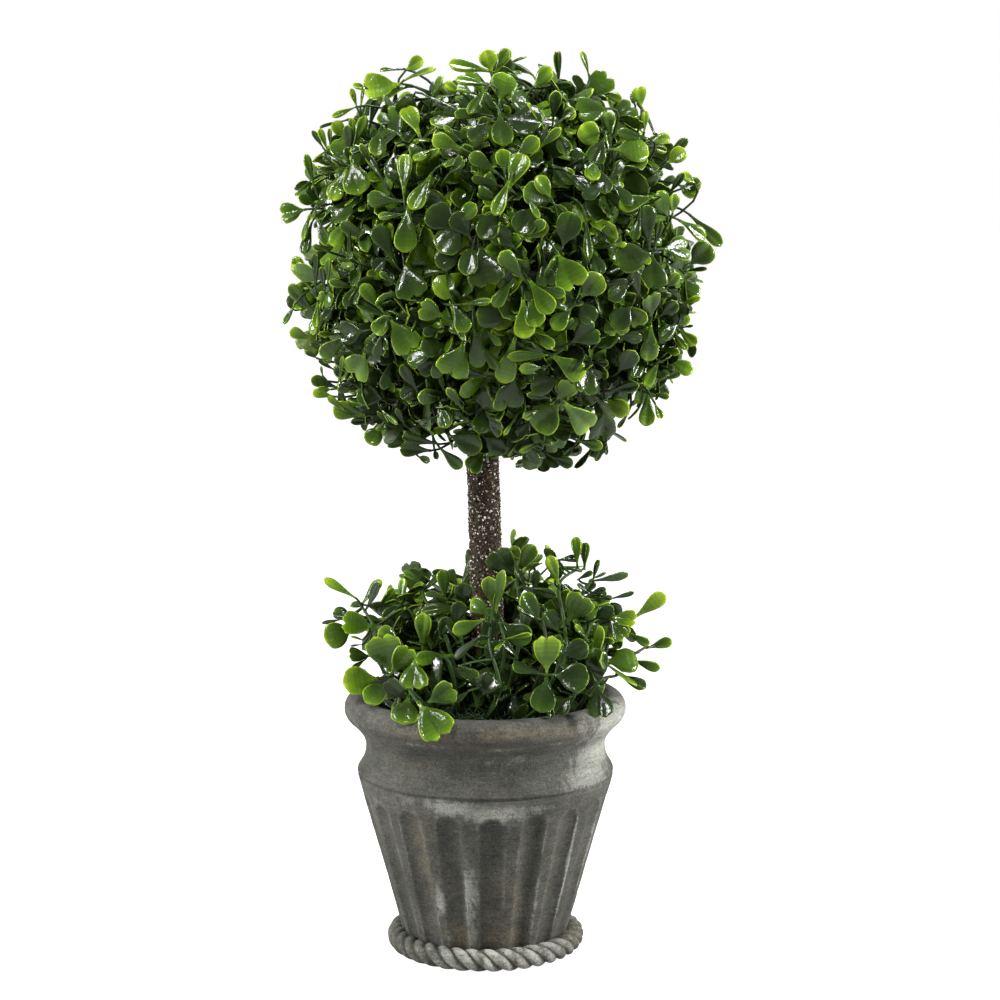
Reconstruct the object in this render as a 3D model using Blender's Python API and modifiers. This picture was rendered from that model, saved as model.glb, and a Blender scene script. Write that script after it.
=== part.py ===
"""Artificial ball topiary, 0.38 m tall: a clipped ball of moulded sprigs on a grit-coated stem, with
a ring of sprigs round its foot, in a fluted cement pot with a rope band. Metres, +Z up.

The origin is the centre of the pot's flat underside, and the front of the pot is towards -Y.
"""

import math

import bmesh
import bpy
from mathutils import Matrix, Vector, geometry, noise

GAP = 0.0003  # left between touching pieces

# Pot: one hollow casting. Pairs are (radius, height).
LIP_CENTRE = (0.0536, 0.1040)
LIP_HALF_WIDTH = 0.0061
LIP_HALF_HEIGHT = 0.0060
LIP_UNDERSIDE_ANGLE = math.radians(-52)
LIP_UNDERSIDE_HANDLE = (-0.0036, -0.0034)
NECK = (0.0508, 0.0883)
NECK_HANDLE_UP = 0.0042
NECK_HANDLE_DOWN = 0.0063
SHOULDER = (0.0545, 0.0776)
SHOULDER_HANDLE = (-0.0003, 0.0019)
COLLAR_GROOVE = (0.0537, 0.0764)
BODY_TOP = (0.0543, 0.0758)
FOOT_RADIUS = 0.0334
FLOOR = (0.0295, 0.0090)
INNER_SHOULDER = (0.0450, 0.0780)
INNER_NECK = (0.0454, 0.0970)
POT_STEPS = 54
LIP_POINTS = 9
BEND_POINTS = 4

# Flutes: round-topped hollows down the body of the pot
FLUTE_COUNT = 18
FLUTE_DEPTH = 0.0018
FLUTE_TOP_WIDTH = 0.0102
FLUTE_FOOT_WIDTH = 0.0086
FLUTE_TOP_HEIGHT = 0.0690
FLUTE_ROD_SIDES = 20
FLUTE_TURN = math.radians(-86.9)  # where the first flute stands, from +X

# Rope band round the foot, cut flat underneath
ROPE_RADIUS = 0.0374
ROPE_THICKNESS = 0.0091
ROPE_CENTRE_HEIGHT = 0.0043
ROPE_STEPS = 36
ROPE_SIDES = 8

# Foam plug in the pot, domed a little on top
PLUG_CENTRE_HEIGHT = 0.1012
PLUG_EDGE_HEIGHT = 0.0985
PLUG_STEPS = 24

# Trunk: a straight stem that leans a little towards -X, sunk in the plug
TRUNK_FOOT = Vector((0.0030, 0.0, 0.0600))
TRUNK_TIP = Vector((-0.0030, 0.0, 0.2860))
TRUNK_FOOT_RADIUS = 0.0070
TRUNK_TIP_RADIUS = 0.0066
TRUNK_SIDES = 24

# Crown: one clipped ball, a little boxy, with an uneven skin
CROWN_CENTRE = Vector((0.0058, 0.0, 0.2905))
CROWN_RADIUS = 0.0865
CROWN_BOXINESS = 2.25  # 2 is a true ball
CROWN_CUTS = 12  # extra edge loops across each side of the cube it starts from
CROWN_LUMP_SIZE = 0.020
CROWN_LUMP_DEPTH = 0.065  # share of the radius
CROWN_SEED = 7.0

# Tufts round the trunk's foot: where each stands from +X, how far it reaches, how high it rises
TUFTS = {
    "right": (0, 0.0760, 0.1560),
    "back_right": (51, 0.0680, 0.1740),
    "back_left": (103, 0.0640, 0.1660),
    "left_back": (154, 0.0670, 0.1600),
    "left_front": (206, 0.0690, 0.1600),
    "front": (257, 0.0640, 0.1540),
    "right_front": (309, 0.0680, 0.1580),
}
TUFT_BOTTOM = 0.1060
TUFT_BREADTH = 0.0290
TUFT_LUMP_SIZE = 0.012
TUFT_LUMP_DEPTH = 0.16
TUFT_SEED_STEP = 3.0
STEM_FOOT_SPREAD = 0.019
STEM_FOOT_HEIGHT = 0.0945
STEM_TIP_SPREAD = 0.031
STEM_TIP_HEIGHT = 0.1270
STEM_FOOT_RADIUS = 0.0014
STEM_TIP_RADIUS = 0.0009
STEM_SIDES = 8

CEMENT = ("cement", (0.109, 0.109, 0.095, 1.0), 0.88)
GRIT = ("grit", (0.060, 0.043, 0.030, 1.0), 0.75)
MOSS = ("dark_moss", (0.008, 0.014, 0.007, 1.0), 0.90)
LEAF = ("leaf_green", (0.038, 0.090, 0.014, 1.0), 0.40)
STEM_GREEN = ("stem_green", (0.040, 0.085, 0.018, 1.0), 0.45)


def clear_scene():
    for old in list(bpy.data.objects):
        bpy.data.objects.remove(old, do_unlink=True)


def new_collection(name):
    collection = bpy.data.collections.new(name)
    bpy.context.scene.collection.children.link(collection)
    return collection


def material(name, colour, roughness):
    """The Principled material of this name, made once. Nothing here is metal."""
    found = bpy.data.materials.get(name)
    if found:
        return found
    made = bpy.data.materials.new(name)
    made.use_nodes = True
    shader = made.node_tree.nodes["Principled BSDF"]
    shader.inputs["Base Color"].default_value = colour
    shader.inputs["Roughness"].default_value = roughness
    shader.inputs["Metallic"].default_value = 0.0
    return made


def add_part(name, mesh, finish):
    mesh.materials.append(material(*finish))
    mesh.shade_smooth()
    mesh.set_sharp_from_angle(angle=math.radians(35))
    part = bpy.data.objects.new(name, mesh)
    parts.objects.link(part)
    return part


def add_cutter(name, mesh, collection):
    cutter = bpy.data.objects.new(name, mesh)
    collection.objects.link(cutter)
    cutter.hide_render = True
    cutter.display_type = "WIRE"
    return cutter


def mesh_from(bm, name):
    mesh = bpy.data.meshes.new(name)
    bm.to_mesh(mesh)
    bm.free()
    return mesh


def profile_mesh(name, points):
    """An open chain of edges through (radius, height) points, in the XZ plane."""
    bm = bmesh.new()
    chain = [bm.verts.new((radius, 0.0, height)) for radius, height in points]
    for start, end in zip(chain, chain[1:]):
        bm.edges.new((start, end))
    return mesh_from(bm, name)


def turn(obj, steps):
    screw = obj.modifiers.new("turn", "SCREW")
    screw.steps = steps
    screw.render_steps = steps
    screw.use_merge_vertices = True
    screw.merge_threshold = 0.00001
    screw.use_smooth_shade = True


def cut(obj, cutter):
    boolean = obj.modifiers.new("cut_" + cutter.name, "BOOLEAN")
    boolean.operation = "DIFFERENCE"
    boolean.object = cutter


def cut_all(obj, cutters):
    boolean = obj.modifiers.new("cut_" + cutters.name, "BOOLEAN")
    boolean.operation = "DIFFERENCE"
    boolean.operand_type = "COLLECTION"
    boolean.collection = cutters


def limb_mesh(name, foot, tip, foot_radius, tip_radius, sides, grow=0.0):
    """A straight tapering limb. With grow it is that much bigger all round and at both ends."""
    along = tip - foot
    bm = bmesh.new()
    bmesh.ops.create_cone(
        bm,
        cap_ends=True,
        segments=sides,
        radius1=foot_radius + grow,
        radius2=tip_radius + grow,
        depth=along.length + 2 * grow,
    )
    to_place = Matrix.Translation((foot + tip) / 2) @ along.to_track_quat("Z", "Y").to_matrix().to_4x4()
    bmesh.ops.transform(bm, matrix=to_place, verts=bm.verts)
    return mesh_from(bm, name)


def arc(centre, half_width, half_height, start, end, count):
    """Points of an elliptical arc from one angle to another, both included."""
    angles = [start + (end - start) * i / (count - 1) for i in range(count)]
    return [
        (centre[0] + half_width * math.cos(angle), centre[1] + half_height * math.sin(angle))
        for angle in angles
    ]


def bend(start, start_handle, end, end_handle):
    """Points of a Bezier curve after its start, up to its end. Handles are counted from their ends."""
    first, last = Vector(start), Vector(end)
    corners = (first, first + Vector(start_handle), last + Vector(end_handle), last)
    return [tuple(point) for point in geometry.interpolate_bezier(*corners, BEND_POINTS + 1)][1:]


def lip_over(grow=0.0):
    """The rolled lip from its inner side over the top to its outer underside."""
    half_sizes = (LIP_HALF_WIDTH + grow, LIP_HALF_HEIGHT + grow)
    return arc(LIP_CENTRE, *half_sizes, math.pi, LIP_UNDERSIDE_ANGLE, LIP_POINTS)


def pot_profile():
    """From the middle of the inner floor up the inside, over the lip and down the outside."""
    lip = lip_over()
    neck_run = bend(lip[-1], LIP_UNDERSIDE_HANDLE, NECK, (0.0, NECK_HANDLE_UP))
    shoulder_run = bend(NECK, (0.0, -NECK_HANDLE_DOWN), SHOULDER, SHOULDER_HANDLE)
    inside = [(0.0, FLOOR[1]), FLOOR, INNER_SHOULDER, INNER_NECK]
    body = [COLLAR_GROOVE, BODY_TOP, (FOOT_RADIUS, 0.0), (0.0, 0.0)]
    return inside + lip + neck_run + shoulder_run + body


def body_radius(height):
    share = height / BODY_TOP[1]
    return FOOT_RADIUS + (BODY_TOP[0] - FOOT_RADIUS) * share


def groove_radius(width):
    """Radius of the round rod that cuts a flute of this width to the flute depth."""
    return (width * width / 4 + FLUTE_DEPTH * FLUTE_DEPTH) / (2 * FLUTE_DEPTH)


def flute_mesh():
    """A tapering rod with a round top, along Z from the flute's foot, for one flute."""
    slope = math.hypot(1.0, (BODY_TOP[0] - FOOT_RADIUS) / BODY_TOP[1])
    top_radius = groove_radius(FLUTE_TOP_WIDTH)
    length = FLUTE_TOP_HEIGHT * slope - FLUTE_TOP_WIDTH / 2
    bm = bmesh.new()
    bmesh.ops.create_uvsphere(bm, u_segments=FLUTE_ROD_SIDES, v_segments=12, radius=top_radius)
    low_half = [vert for vert in bm.verts if vert.co.z < -GAP / 2]
    bmesh.ops.delete(bm, geom=low_half, context="VERTS")
    bmesh.ops.translate(bm, verts=bm.verts, vec=(0, 0, length))
    rim = [edge for edge in bm.edges if edge.is_boundary]
    foot = bmesh.ops.extrude_edge_only(bm, edges=rim)["geom"]
    foot_verts = [item for item in foot if isinstance(item, bmesh.types.BMVert)]
    narrowing = groove_radius(FLUTE_FOOT_WIDTH) / top_radius
    for vert in foot_verts:
        vert.co = Vector((vert.co.x * narrowing, vert.co.y * narrowing, 0.0))
    bmesh.ops.contextual_create(bm, geom=[e for e in bm.edges if e.is_boundary])
    bmesh.ops.recalc_face_normals(bm, faces=bm.faces)
    return mesh_from(bm, "flute_cutter")


def add_flute_cutters():
    """One rod for each flute, leaned to the slope of the body so that it cuts to an even depth."""
    top_rod = groove_radius(FLUTE_TOP_WIDTH) - FLUTE_DEPTH
    foot_rod = groove_radius(FLUTE_FOOT_WIDTH) - FLUTE_DEPTH
    mesh = flute_mesh()
    foot = Vector((body_radius(0.0) + foot_rod, 0.0, 0.0))
    top = Vector((body_radius(FLUTE_TOP_HEIGHT) + top_rod, 0.0, FLUTE_TOP_HEIGHT))
    lean = Matrix.Translation(foot) @ Matrix.Rotation(
        math.atan2(top.x - foot.x, top.z - foot.z), 4, "Y"
    )
    for index in range(FLUTE_COUNT):
        cutter = add_cutter(f"flute_cutter_{index + 1:02d}", mesh, flute_cutters)
        turned = Matrix.Rotation(FLUTE_TURN + math.tau * index / FLUTE_COUNT, 4, "Z")
        cutter.matrix_world = turned @ lean


def add_rope_band():
    bpy.ops.mesh.primitive_torus_add(
        major_segments=ROPE_STEPS,
        minor_segments=ROPE_SIDES,
        major_radius=ROPE_RADIUS,
        minor_radius=ROPE_THICKNESS / 2,
        location=(0.0, 0.0, ROPE_CENTRE_HEIGHT),
    )
    band = bpy.context.object
    band.name = "rope_band"
    for holder in list(band.users_collection):
        holder.objects.unlink(band)
    helpers.objects.link(band)
    band.hide_render = True
    band.display_type = "WIRE"
    return band


def add_ground_cutter():
    """A slab whose top is at the height of the flat underside."""
    size = 0.2
    bm = bmesh.new()
    bmesh.ops.create_cube(bm, size=size)
    bmesh.ops.translate(bm, verts=bm.verts, vec=(0, 0, -size / 2))
    return add_cutter("ground_cutter", mesh_from(bm, "ground_cutter"), helpers)


def add_pot():
    pot = add_part("pot", profile_mesh("pot", pot_profile()), CEMENT)
    turn(pot, POT_STEPS)
    cut_all(pot, flute_cutters)
    join = pot.modifiers.new("join_rope", "BOOLEAN")
    join.operation = "UNION"
    join.object = add_rope_band()
    cut(pot, add_ground_cutter())


def plug_top():
    """The dome of the plug from the middle out, short of the pot's wall."""
    edge = INNER_NECK[0] - 2 * GAP
    drop = PLUG_CENTRE_HEIGHT - PLUG_EDGE_HEIGHT
    shares = (0.0, 0.35, 0.7, 1.0)
    return [(edge * share, PLUG_CENTRE_HEIGHT - drop * share * share) for share in shares]


def add_plug():
    wall = [
        (INNER_SHOULDER[0] - GAP, INNER_SHOULDER[1]),
        (FLOOR[0] - GAP, FLOOR[1] + GAP),
        (0.0, FLOOR[1] + GAP),
    ]
    plug = add_part("plug", profile_mesh("plug", plug_top() + wall), MOSS)
    turn(plug, PLUG_STEPS)
    cut(plug, trunk_clearance)
    cut_all(plug, stem_clearances)


def add_trunk():
    mesh = limb_mesh("trunk", TRUNK_FOOT, TRUNK_TIP, TRUNK_FOOT_RADIUS, TRUNK_TIP_RADIUS, TRUNK_SIDES)
    add_part("trunk", mesh, GRIT)


def lump(direction, size, seed):
    """Uneven skin: from -1 to 1 over a surface, the same each time for one seed."""
    return noise.fractal(direction * size + Vector((seed, 0.0, 0.0)), 1.0, 2.0, 3)


def add_crown():
    """A divided cube blown out to a slightly boxy ball, then roughened into lumps."""
    bm = bmesh.new()
    bmesh.ops.create_cube(bm, size=2.0)
    bmesh.ops.subdivide_edges(bm, edges=list(bm.edges), cuts=CROWN_CUTS, use_grid_fill=True)
    for vert in bm.verts:
        way = Vector(math.tan(math.pi / 4 * part) for part in vert.co).normalized()
        spread = sum(abs(part) ** CROWN_BOXINESS for part in way) ** (-1 / CROWN_BOXINESS)
        rough = 1 + CROWN_LUMP_DEPTH * lump(way, CROWN_RADIUS / CROWN_LUMP_SIZE, CROWN_SEED)
        vert.co = CROWN_CENTRE + way * (CROWN_RADIUS * spread * rough)
    crown = add_part("crown", mesh_from(bm, "crown"), LEAF)
    cut(crown, trunk_clearance)


def stem_ends(azimuth):
    """Foot and tip of a tuft's stem, which leans outwards from the plug into the tuft."""
    outward = Vector((math.cos(azimuth), math.sin(azimuth), 0.0))
    foot = outward * STEM_FOOT_SPREAD + Vector((0, 0, STEM_FOOT_HEIGHT))
    tip = outward * STEM_TIP_SPREAD + Vector((0, 0, STEM_TIP_HEIGHT))
    return foot, tip


def add_stems():
    for name, (degrees, _, _) in TUFTS.items():
        foot, tip = stem_ends(math.radians(degrees))
        sizes = (STEM_FOOT_RADIUS, STEM_TIP_RADIUS, STEM_SIDES)
        add_part("stem_" + name, limb_mesh("stem_" + name, foot, tip, *sizes), STEM_GREEN)
        room = limb_mesh("stem_clearance", foot, tip, *sizes, grow=GAP)
        add_cutter("stem_clearance_" + name, room, stem_clearances)


def keep_side(bm, normal):
    """Cut off what lies past a vertical plane near the axis, and close the cut."""
    parted = bmesh.ops.bisect_plane(
        bm,
        geom=list(bm.verts) + list(bm.edges) + list(bm.faces),
        plane_co=-normal * GAP,
        plane_no=normal,
        clear_outer=True,
    )
    rim = [item for item in parted["geom_cut"] if isinstance(item, bmesh.types.BMEdge)]
    bmesh.ops.holes_fill(bm, edges=rim)


def add_tufts():
    """Each tuft is a lumpy blob, cut to its own sector round the trunk and clear of pot and plug."""
    names = list(TUFTS)
    for index, name in enumerate(names):
        degrees, reach, top = TUFTS[name]
        azimuth = math.radians(degrees)
        before = math.radians(TUFTS[names[index - 1]][0]) - (math.tau if index == 0 else 0.0)
        after = math.radians(TUFTS[names[(index + 1) % len(names)]][0])
        if after < azimuth:
            after += math.tau
        bm = bmesh.new()
        bmesh.ops.create_icosphere(bm, subdivisions=3, radius=1.0)
        for vert in bm.verts:
            way = vert.co.normalized()
            rough = lump(way, TUFT_BREADTH / TUFT_LUMP_SIZE, TUFT_SEED_STEP * index)
            vert.co = way * (1 + TUFT_LUMP_DEPTH * rough)
        sizes = Vector((reach / 2, TUFT_BREADTH, (top - TUFT_BOTTOM) / 2))
        centre = Vector((reach / 2, 0.0, (top + TUFT_BOTTOM) / 2))
        bmesh.ops.scale(bm, vec=sizes, verts=bm.verts)
        bmesh.ops.translate(bm, vec=centre, verts=bm.verts)
        bmesh.ops.rotate(bm, matrix=Matrix.Rotation(azimuth, 3, "Z"), verts=bm.verts)
        for border, side in (((azimuth + before) / 2, -1), ((azimuth + after) / 2, 1)):
            keep_side(bm, side * Vector((-math.sin(border), math.cos(border), 0.0)))
        bmesh.ops.recalc_face_normals(bm, faces=bm.faces)
        tuft = add_part("tuft_" + name, mesh_from(bm, "tuft_" + name), LEAF)
        cut(tuft, pot_clearance)
        cut(tuft, trunk_clearance)
        cut(tuft, bpy.data.objects["stem_clearance_" + name])


def add_trunk_clearance():
    sizes = (TRUNK_FOOT_RADIUS, TRUNK_TIP_RADIUS, TRUNK_SIDES)
    mesh = limb_mesh("trunk_clearance", TRUNK_FOOT, TRUNK_TIP, *sizes, grow=GAP)
    return add_cutter("trunk_clearance", mesh, helpers)


def add_pot_clearance():
    """What the tufts keep off: the plug's dome and the pot's mouth and lip, each a gap bigger."""
    dome = [(radius, height + GAP) for radius, height in plug_top()]
    lip = lip_over(grow=GAP)
    base = [(lip[-1][0], NECK[1]), (0.0, NECK[1])]
    cutter = add_cutter("pot_clearance", profile_mesh("pot_clearance", dome + lip + base), helpers)
    turn(cutter, POT_STEPS)
    return cutter


clear_scene()
parts = new_collection("ball_topiary")
helpers = new_collection("helpers")
flute_cutters = new_collection("flute_cutters")
stem_clearances = new_collection("stem_clearances")
trunk_clearance = add_trunk_clearance()
pot_clearance = add_pot_clearance()
add_flute_cutters()
add_pot()
add_stems()
add_plug()
add_trunk()
add_crown()
add_tufts()
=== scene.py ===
import math
import random

import bpy
import numpy as np
from mathutils import Matrix, Vector, geometry, noise


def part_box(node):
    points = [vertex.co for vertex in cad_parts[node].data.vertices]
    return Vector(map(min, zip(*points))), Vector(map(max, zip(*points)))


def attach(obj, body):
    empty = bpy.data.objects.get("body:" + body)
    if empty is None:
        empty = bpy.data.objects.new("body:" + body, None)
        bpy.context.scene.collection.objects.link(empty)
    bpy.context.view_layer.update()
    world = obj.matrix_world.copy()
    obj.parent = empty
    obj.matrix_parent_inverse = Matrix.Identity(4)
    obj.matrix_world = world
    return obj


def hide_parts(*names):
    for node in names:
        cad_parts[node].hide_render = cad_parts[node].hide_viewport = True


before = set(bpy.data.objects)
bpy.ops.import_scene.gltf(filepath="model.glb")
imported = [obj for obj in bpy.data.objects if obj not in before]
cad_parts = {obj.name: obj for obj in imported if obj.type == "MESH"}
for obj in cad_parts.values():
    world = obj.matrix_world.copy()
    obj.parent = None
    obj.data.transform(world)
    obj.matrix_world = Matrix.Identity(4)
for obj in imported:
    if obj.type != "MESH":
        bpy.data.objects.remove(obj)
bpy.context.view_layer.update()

mm = 0.001
up = Vector((0, 0, 1))
print("frame loaded:", len(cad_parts), "nodes")


# Joined meshes: every shape is quads, added to a store and made into one object at the end

def newStore():
    return {"points": [], "quads": [], "finishes": [], "count": 0}


def addShape(store, points, quads, finishes):
    store["points"].append(points)
    store["quads"].append(quads + store["count"])
    store["finishes"].append(np.broadcast_to(finishes, len(quads)))
    store["count"] += len(points)


def makeObject(name, store, materials, smooth=True):
    points = np.concatenate(store["points"])
    quads = np.concatenate(store["quads"])
    mesh = bpy.data.meshes.new(name)
    mesh.from_pydata(points.tolist(), [], quads.tolist())
    for material in materials:
        mesh.materials.append(material)
    mesh.polygons.foreach_set("material_index", np.concatenate(store["finishes"]).astype(np.int32))
    mesh.polygons.foreach_set("use_smooth", np.full(len(quads), smooth))
    made = bpy.data.objects.new(name, mesh)
    bpy.context.scene.collection.objects.link(made)
    print("made", name, "with", 2 * len(quads), "triangles")
    return made


def gridQuads(rows, columns, closed=False):
    # corners of each cell; closed joins the last column to the first
    across = columns if closed else columns - 1
    row, column = np.meshgrid(np.arange(rows - 1), np.arange(across), indexing="ij")
    low, high, right = row * columns, (row + 1) * columns, (column + 1) % columns
    return np.stack([low + column, low + right, high + right, high + column], axis=-1).reshape(-1, 4)


def evenTurns(count):
    return np.linspace(0, 2 * math.pi, count, endpoint=False)


def fanQuads(start, sides):
    # a flat cap over an even ring of points
    return np.array([(0, k, k + 1, k + 2) for k in range(1, sides - 2, 2)]) + start


def shellQuads(rows, columns):
    # a closed grid with a cap at each end
    caps = fanQuads(0, columns)[:, ::-1], fanQuads((rows - 1) * columns, columns)
    return np.concatenate([gridQuads(rows, columns, closed=True), *caps])


def addTube(store, path, radii, finish, sides=6):
    path = np.asarray(path, dtype=float)
    radii = np.interp(np.linspace(0, 1, len(path)), np.linspace(0, 1, len(radii)), radii)
    tangent = np.gradient(path, axis=0)
    tangent /= np.linalg.norm(tangent, axis=1)[:, None]
    helper = np.eye(3)[np.argmin(np.abs(tangent.mean(axis=0)))]
    side = np.cross(tangent, helper)
    side /= np.linalg.norm(side, axis=1)[:, None]
    other = np.cross(tangent, side)
    turn = evenTurns(sides)[None, :, None]
    ring = np.cos(turn) * side[:, None] + np.sin(turn) * other[:, None]
    points = (path[:, None] + radii[:, None, None] * ring).reshape(-1, 3)
    addShape(store, points, shellQuads(len(path), sides), finish)


def curvePoints(start, middle, end, count):
    # a smooth run that leaves start towards middle and arrives at end
    corners = (start, start.lerp(middle, 0.67), end.lerp(middle, 0.67), end)
    return geometry.interpolate_bezier(*corners, count)


def unitFrom(azimuth, rise=0.0):
    flat = math.cos(rise)
    return Vector((flat * math.cos(azimuth), flat * math.sin(azimuth), math.sin(rise)))


def spotAt(radius, turn, height=0.0):
    return Vector((radius * math.cos(turn), radius * math.sin(turn), height))


def jitter(rng, size):
    return Vector([rng.gauss(0, size) for _ in range(3)])


def wobble(point, size, seed=0.0):
    # smooth noise from -1 to 1, whose bumps are about one size across
    return noise.noise(Vector(point) / size + Vector((seed, -seed, 0.5 * seed)))


def layered(point, layers):
    # the sum of layers of that noise, each with a share, a size in mm and a seed
    return sum(share * wobble(point, size * mm, seed) for share, size, seed in layers)


# Shader helpers and the groups that several materials share

def feed(tree, socket, value):
    # a socket takes a link from another node, or a plain value
    if isinstance(value, bpy.types.NodeSocket):
        tree.links.new(value, socket)
    else:
        socket.default_value = value


def addNode(tree, kind, inputs=None, **settings):
    made = tree.nodes.new(kind)
    for key, value in settings.items():
        setattr(made, key, value)
    for key, value in (inputs or {}).items():
        feed(tree, made.inputs[key], value)
    return made


def maths(tree, operation, first, second=0.0, third=0.0, clamp=False):
    inputs = {0: first, 1: second, 2: third}
    return addNode(tree, "ShaderNodeMath", inputs, operation=operation, use_clamp=clamp).outputs[0]


def remap(tree, value, low, high, toLow=0.0, toHigh=1.0):
    inputs = {0: value, 1: low, 2: high, 3: toLow, 4: toHigh}
    return addNode(tree, "ShaderNodeMapRange", inputs).outputs[0]


def mixColour(tree, share, first, second, blend="MIX"):
    inputs = {0: share, 6: first, 7: second}
    return addNode(tree, "ShaderNodeMix", inputs, data_type="RGBA", blend_type=blend).outputs[2]


def newGroup(name, takes, gives):
    # takes and gives are {socket name: kind or starting value}
    group = bpy.data.node_groups.new(name, "ShaderNodeTree")
    for label, value in takes.items():
        kind = "NodeSocketColor" if isinstance(value, tuple) else "NodeSocketFloat"
        socket = group.interface.new_socket(label, in_out="INPUT", socket_type=kind)
        socket.default_value = value
    for label, kind in gives.items():
        group.interface.new_socket(label, in_out="OUTPUT", socket_type=kind)
    return group, group.nodes.new("NodeGroupInput"), group.nodes.new("NodeGroupOutput")


patina = {
    # each noise has a scale, a detail, a roughness and the two values that it is stretched between
    "cloud": (70.0, 6.0, 0.65, 0.32, 0.68),
    "rubbed": (230.0, 7.0, 0.78, 0.36, 0.60),
    "patchy": (130.0, 6.0, 0.75, 0.42, 0.58),
    "veil": (42.0, 5.0, 0.72, 0.52, 0.68),
    "strokes": (420.0, 3.0, 0.6, 0.35, 0.65),
    "tan": (1300.0, 2.0, 0.5, 0.65, 0.70),
    "pitted": (760.0, 3.0, 0.6, 0.36, 0.30),
    "pits": (420.0, 3.0, 0.6, 0.30, 0.40),
    "rubbedSquash": (1.0, 1.0, 0.45),
    "strokeSquash": (0.30, 0.30, 2.6),
    "coarseShare": 0.42,  # scale of the coarse grit as a share of the fine grit's
    "fineGrit": (0.32, 0.68, 0.62, 1.38),
    "coarseGrit": (0.35, 0.65, -0.15, 0.15),
    "strokeDepth": 0.17,
    "veilShare": 0.24,
    "chalkGain": 1.3,
    "chalkFrom": 0.95,
    "chalkEdge": 3.5,
    "chalkWorn": 0.8,
    "chalkFilm": 0.25,
    "dirtShare": 0.55,
    "dirtTint": (0.35, 0.35, 0.33, 1.0),
    "tanShare": 0.45,
    "tanColour": (0.27, 0.235, 0.17, 1.0),
    "pitShare": 0.7,
    "pitColour": (0.018, 0.017, 0.014, 1.0),
    "roughness": (0.3, 0.7, 0.96, 0.80),
    "pitDepth": 0.6,
}


def cementGroup():
    # cast cement with a rubbed patina: cloudy ground, chalky wear that also carries painted highlight, rust
    # stains, a darkening that also carries painted shade, and fine grit
    takes = {
        "Ground Dark": (0.06, 0.06, 0.05, 1.0),
        "Ground Light": (0.12, 0.12, 0.10, 1.0),
        "Chalk": (0.30, 0.30, 0.27, 1.0),
        "Stain": (0.14, 0.11, 0.07, 1.0),
        "Chalk Mask": 0.0,
        "Stain Mask": 0.0,
        "Dirt Mask": 0.0,
        "Grit Scale": 1500.0,
    }
    gives = {"Colour": "NodeSocketColor", "Roughness": "NodeSocketFloat", "Height": "NodeSocketFloat"}
    tree, takesNode, givesNode = newGroup("cementPatina", takes, gives)
    place = tree.nodes.new("ShaderNodeTexCoord").outputs["Object"]
    value = takesNode.outputs

    def grain(scale, detail, rough, squash=None):
        vector = place
        if squash:
            vector = addNode(tree, "ShaderNodeMapping", {"Vector": place, "Scale": squash}).outputs[0]
        inputs = {"Vector": vector, "Scale": scale, "Detail": detail, "Roughness": rough}
        return addNode(tree, "ShaderNodeTexNoise", inputs).outputs["Fac"]

    def broken(name, toLow=0.0, toHigh=1.0, squash=None):
        *shape, low, high = patina[name]
        return remap(tree, grain(*shape, squash), low, high, toLow, toHigh)

    def times(first, second, clamp=False):
        return maths(tree, "MULTIPLY", first, second, clamp=clamp)

    def laid(colour, share, over):
        return mixColour(tree, share, colour, over)

    fine = grain(value["Grit Scale"], 3.0, 0.65)
    coarse = grain(times(value["Grit Scale"], patina["coarseShare"]), 3.0, 0.6)
    rubbed = broken("rubbed", squash=patina["rubbedSquash"])
    colour = laid(value["Ground Dark"], broken("cloud"), value["Ground Light"])
    colour = laid(colour, times(broken("veil"), patina["veilShare"], clamp=True), value["Stain"])
    colour = laid(colour, times(value["Stain Mask"], broken("patchy"), clamp=True), value["Stain"])

    # the pale wear mask holds rubbed chalky wear and also the painted highlight on the pot's right side
    worn = maths(tree, "MULTIPLY_ADD", value["Chalk Mask"], patina["chalkGain"], rubbed)
    worn = times(maths(tree, "SUBTRACT", worn, patina["chalkFrom"]), patina["chalkEdge"], clamp=True)
    film = maths(tree, "MULTIPLY_ADD", worn, patina["chalkWorn"], patina["chalkFilm"])
    colour = laid(colour, times(value["Chalk Mask"], film, clamp=True), value["Chalk"])
    # darkening by its mask: on the pot this holds painted shade in the collar groove and under the lip,
    # besides darker flutes, foot, neck and inside
    darkenShare = times(value["Dirt Mask"], patina["dirtShare"], clamp=True)
    colour = laid(colour, darkenShare, mixColour(tree, 1.0, colour, patina["dirtTint"], "MULTIPLY"))

    grits = remap(tree, fine, *patina["fineGrit"]), remap(tree, coarse, *patina["coarseGrit"])
    strokes = broken("strokes", -patina["strokeDepth"], patina["strokeDepth"], patina["strokeSquash"])
    speckle = maths(tree, "ADD", maths(tree, "ADD", *grits), strokes)
    grey = addNode(tree, "ShaderNodeCombineColor", {0: speckle, 1: speckle, 2: speckle}).outputs[0]
    colour = mixColour(tree, 1.0, colour, grey, "MULTIPLY")
    colour = laid(colour, times(broken("tan"), patina["tanShare"], clamp=True), patina["tanColour"])
    colour = laid(colour, times(broken("pitted"), patina["pitShare"], clamp=True), patina["pitColour"])

    height = maths(tree, "ADD", times(fine, 0.5), times(coarse, 0.7))
    height = maths(tree, "ADD", height, broken("pits", -patina["pitDepth"], 0.0))
    feed(tree, givesNode.inputs["Colour"], colour)
    feed(tree, givesNode.inputs["Roughness"], remap(tree, coarse, *patina["roughness"]))
    feed(tree, givesNode.inputs["Height"], height)
    return tree


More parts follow.
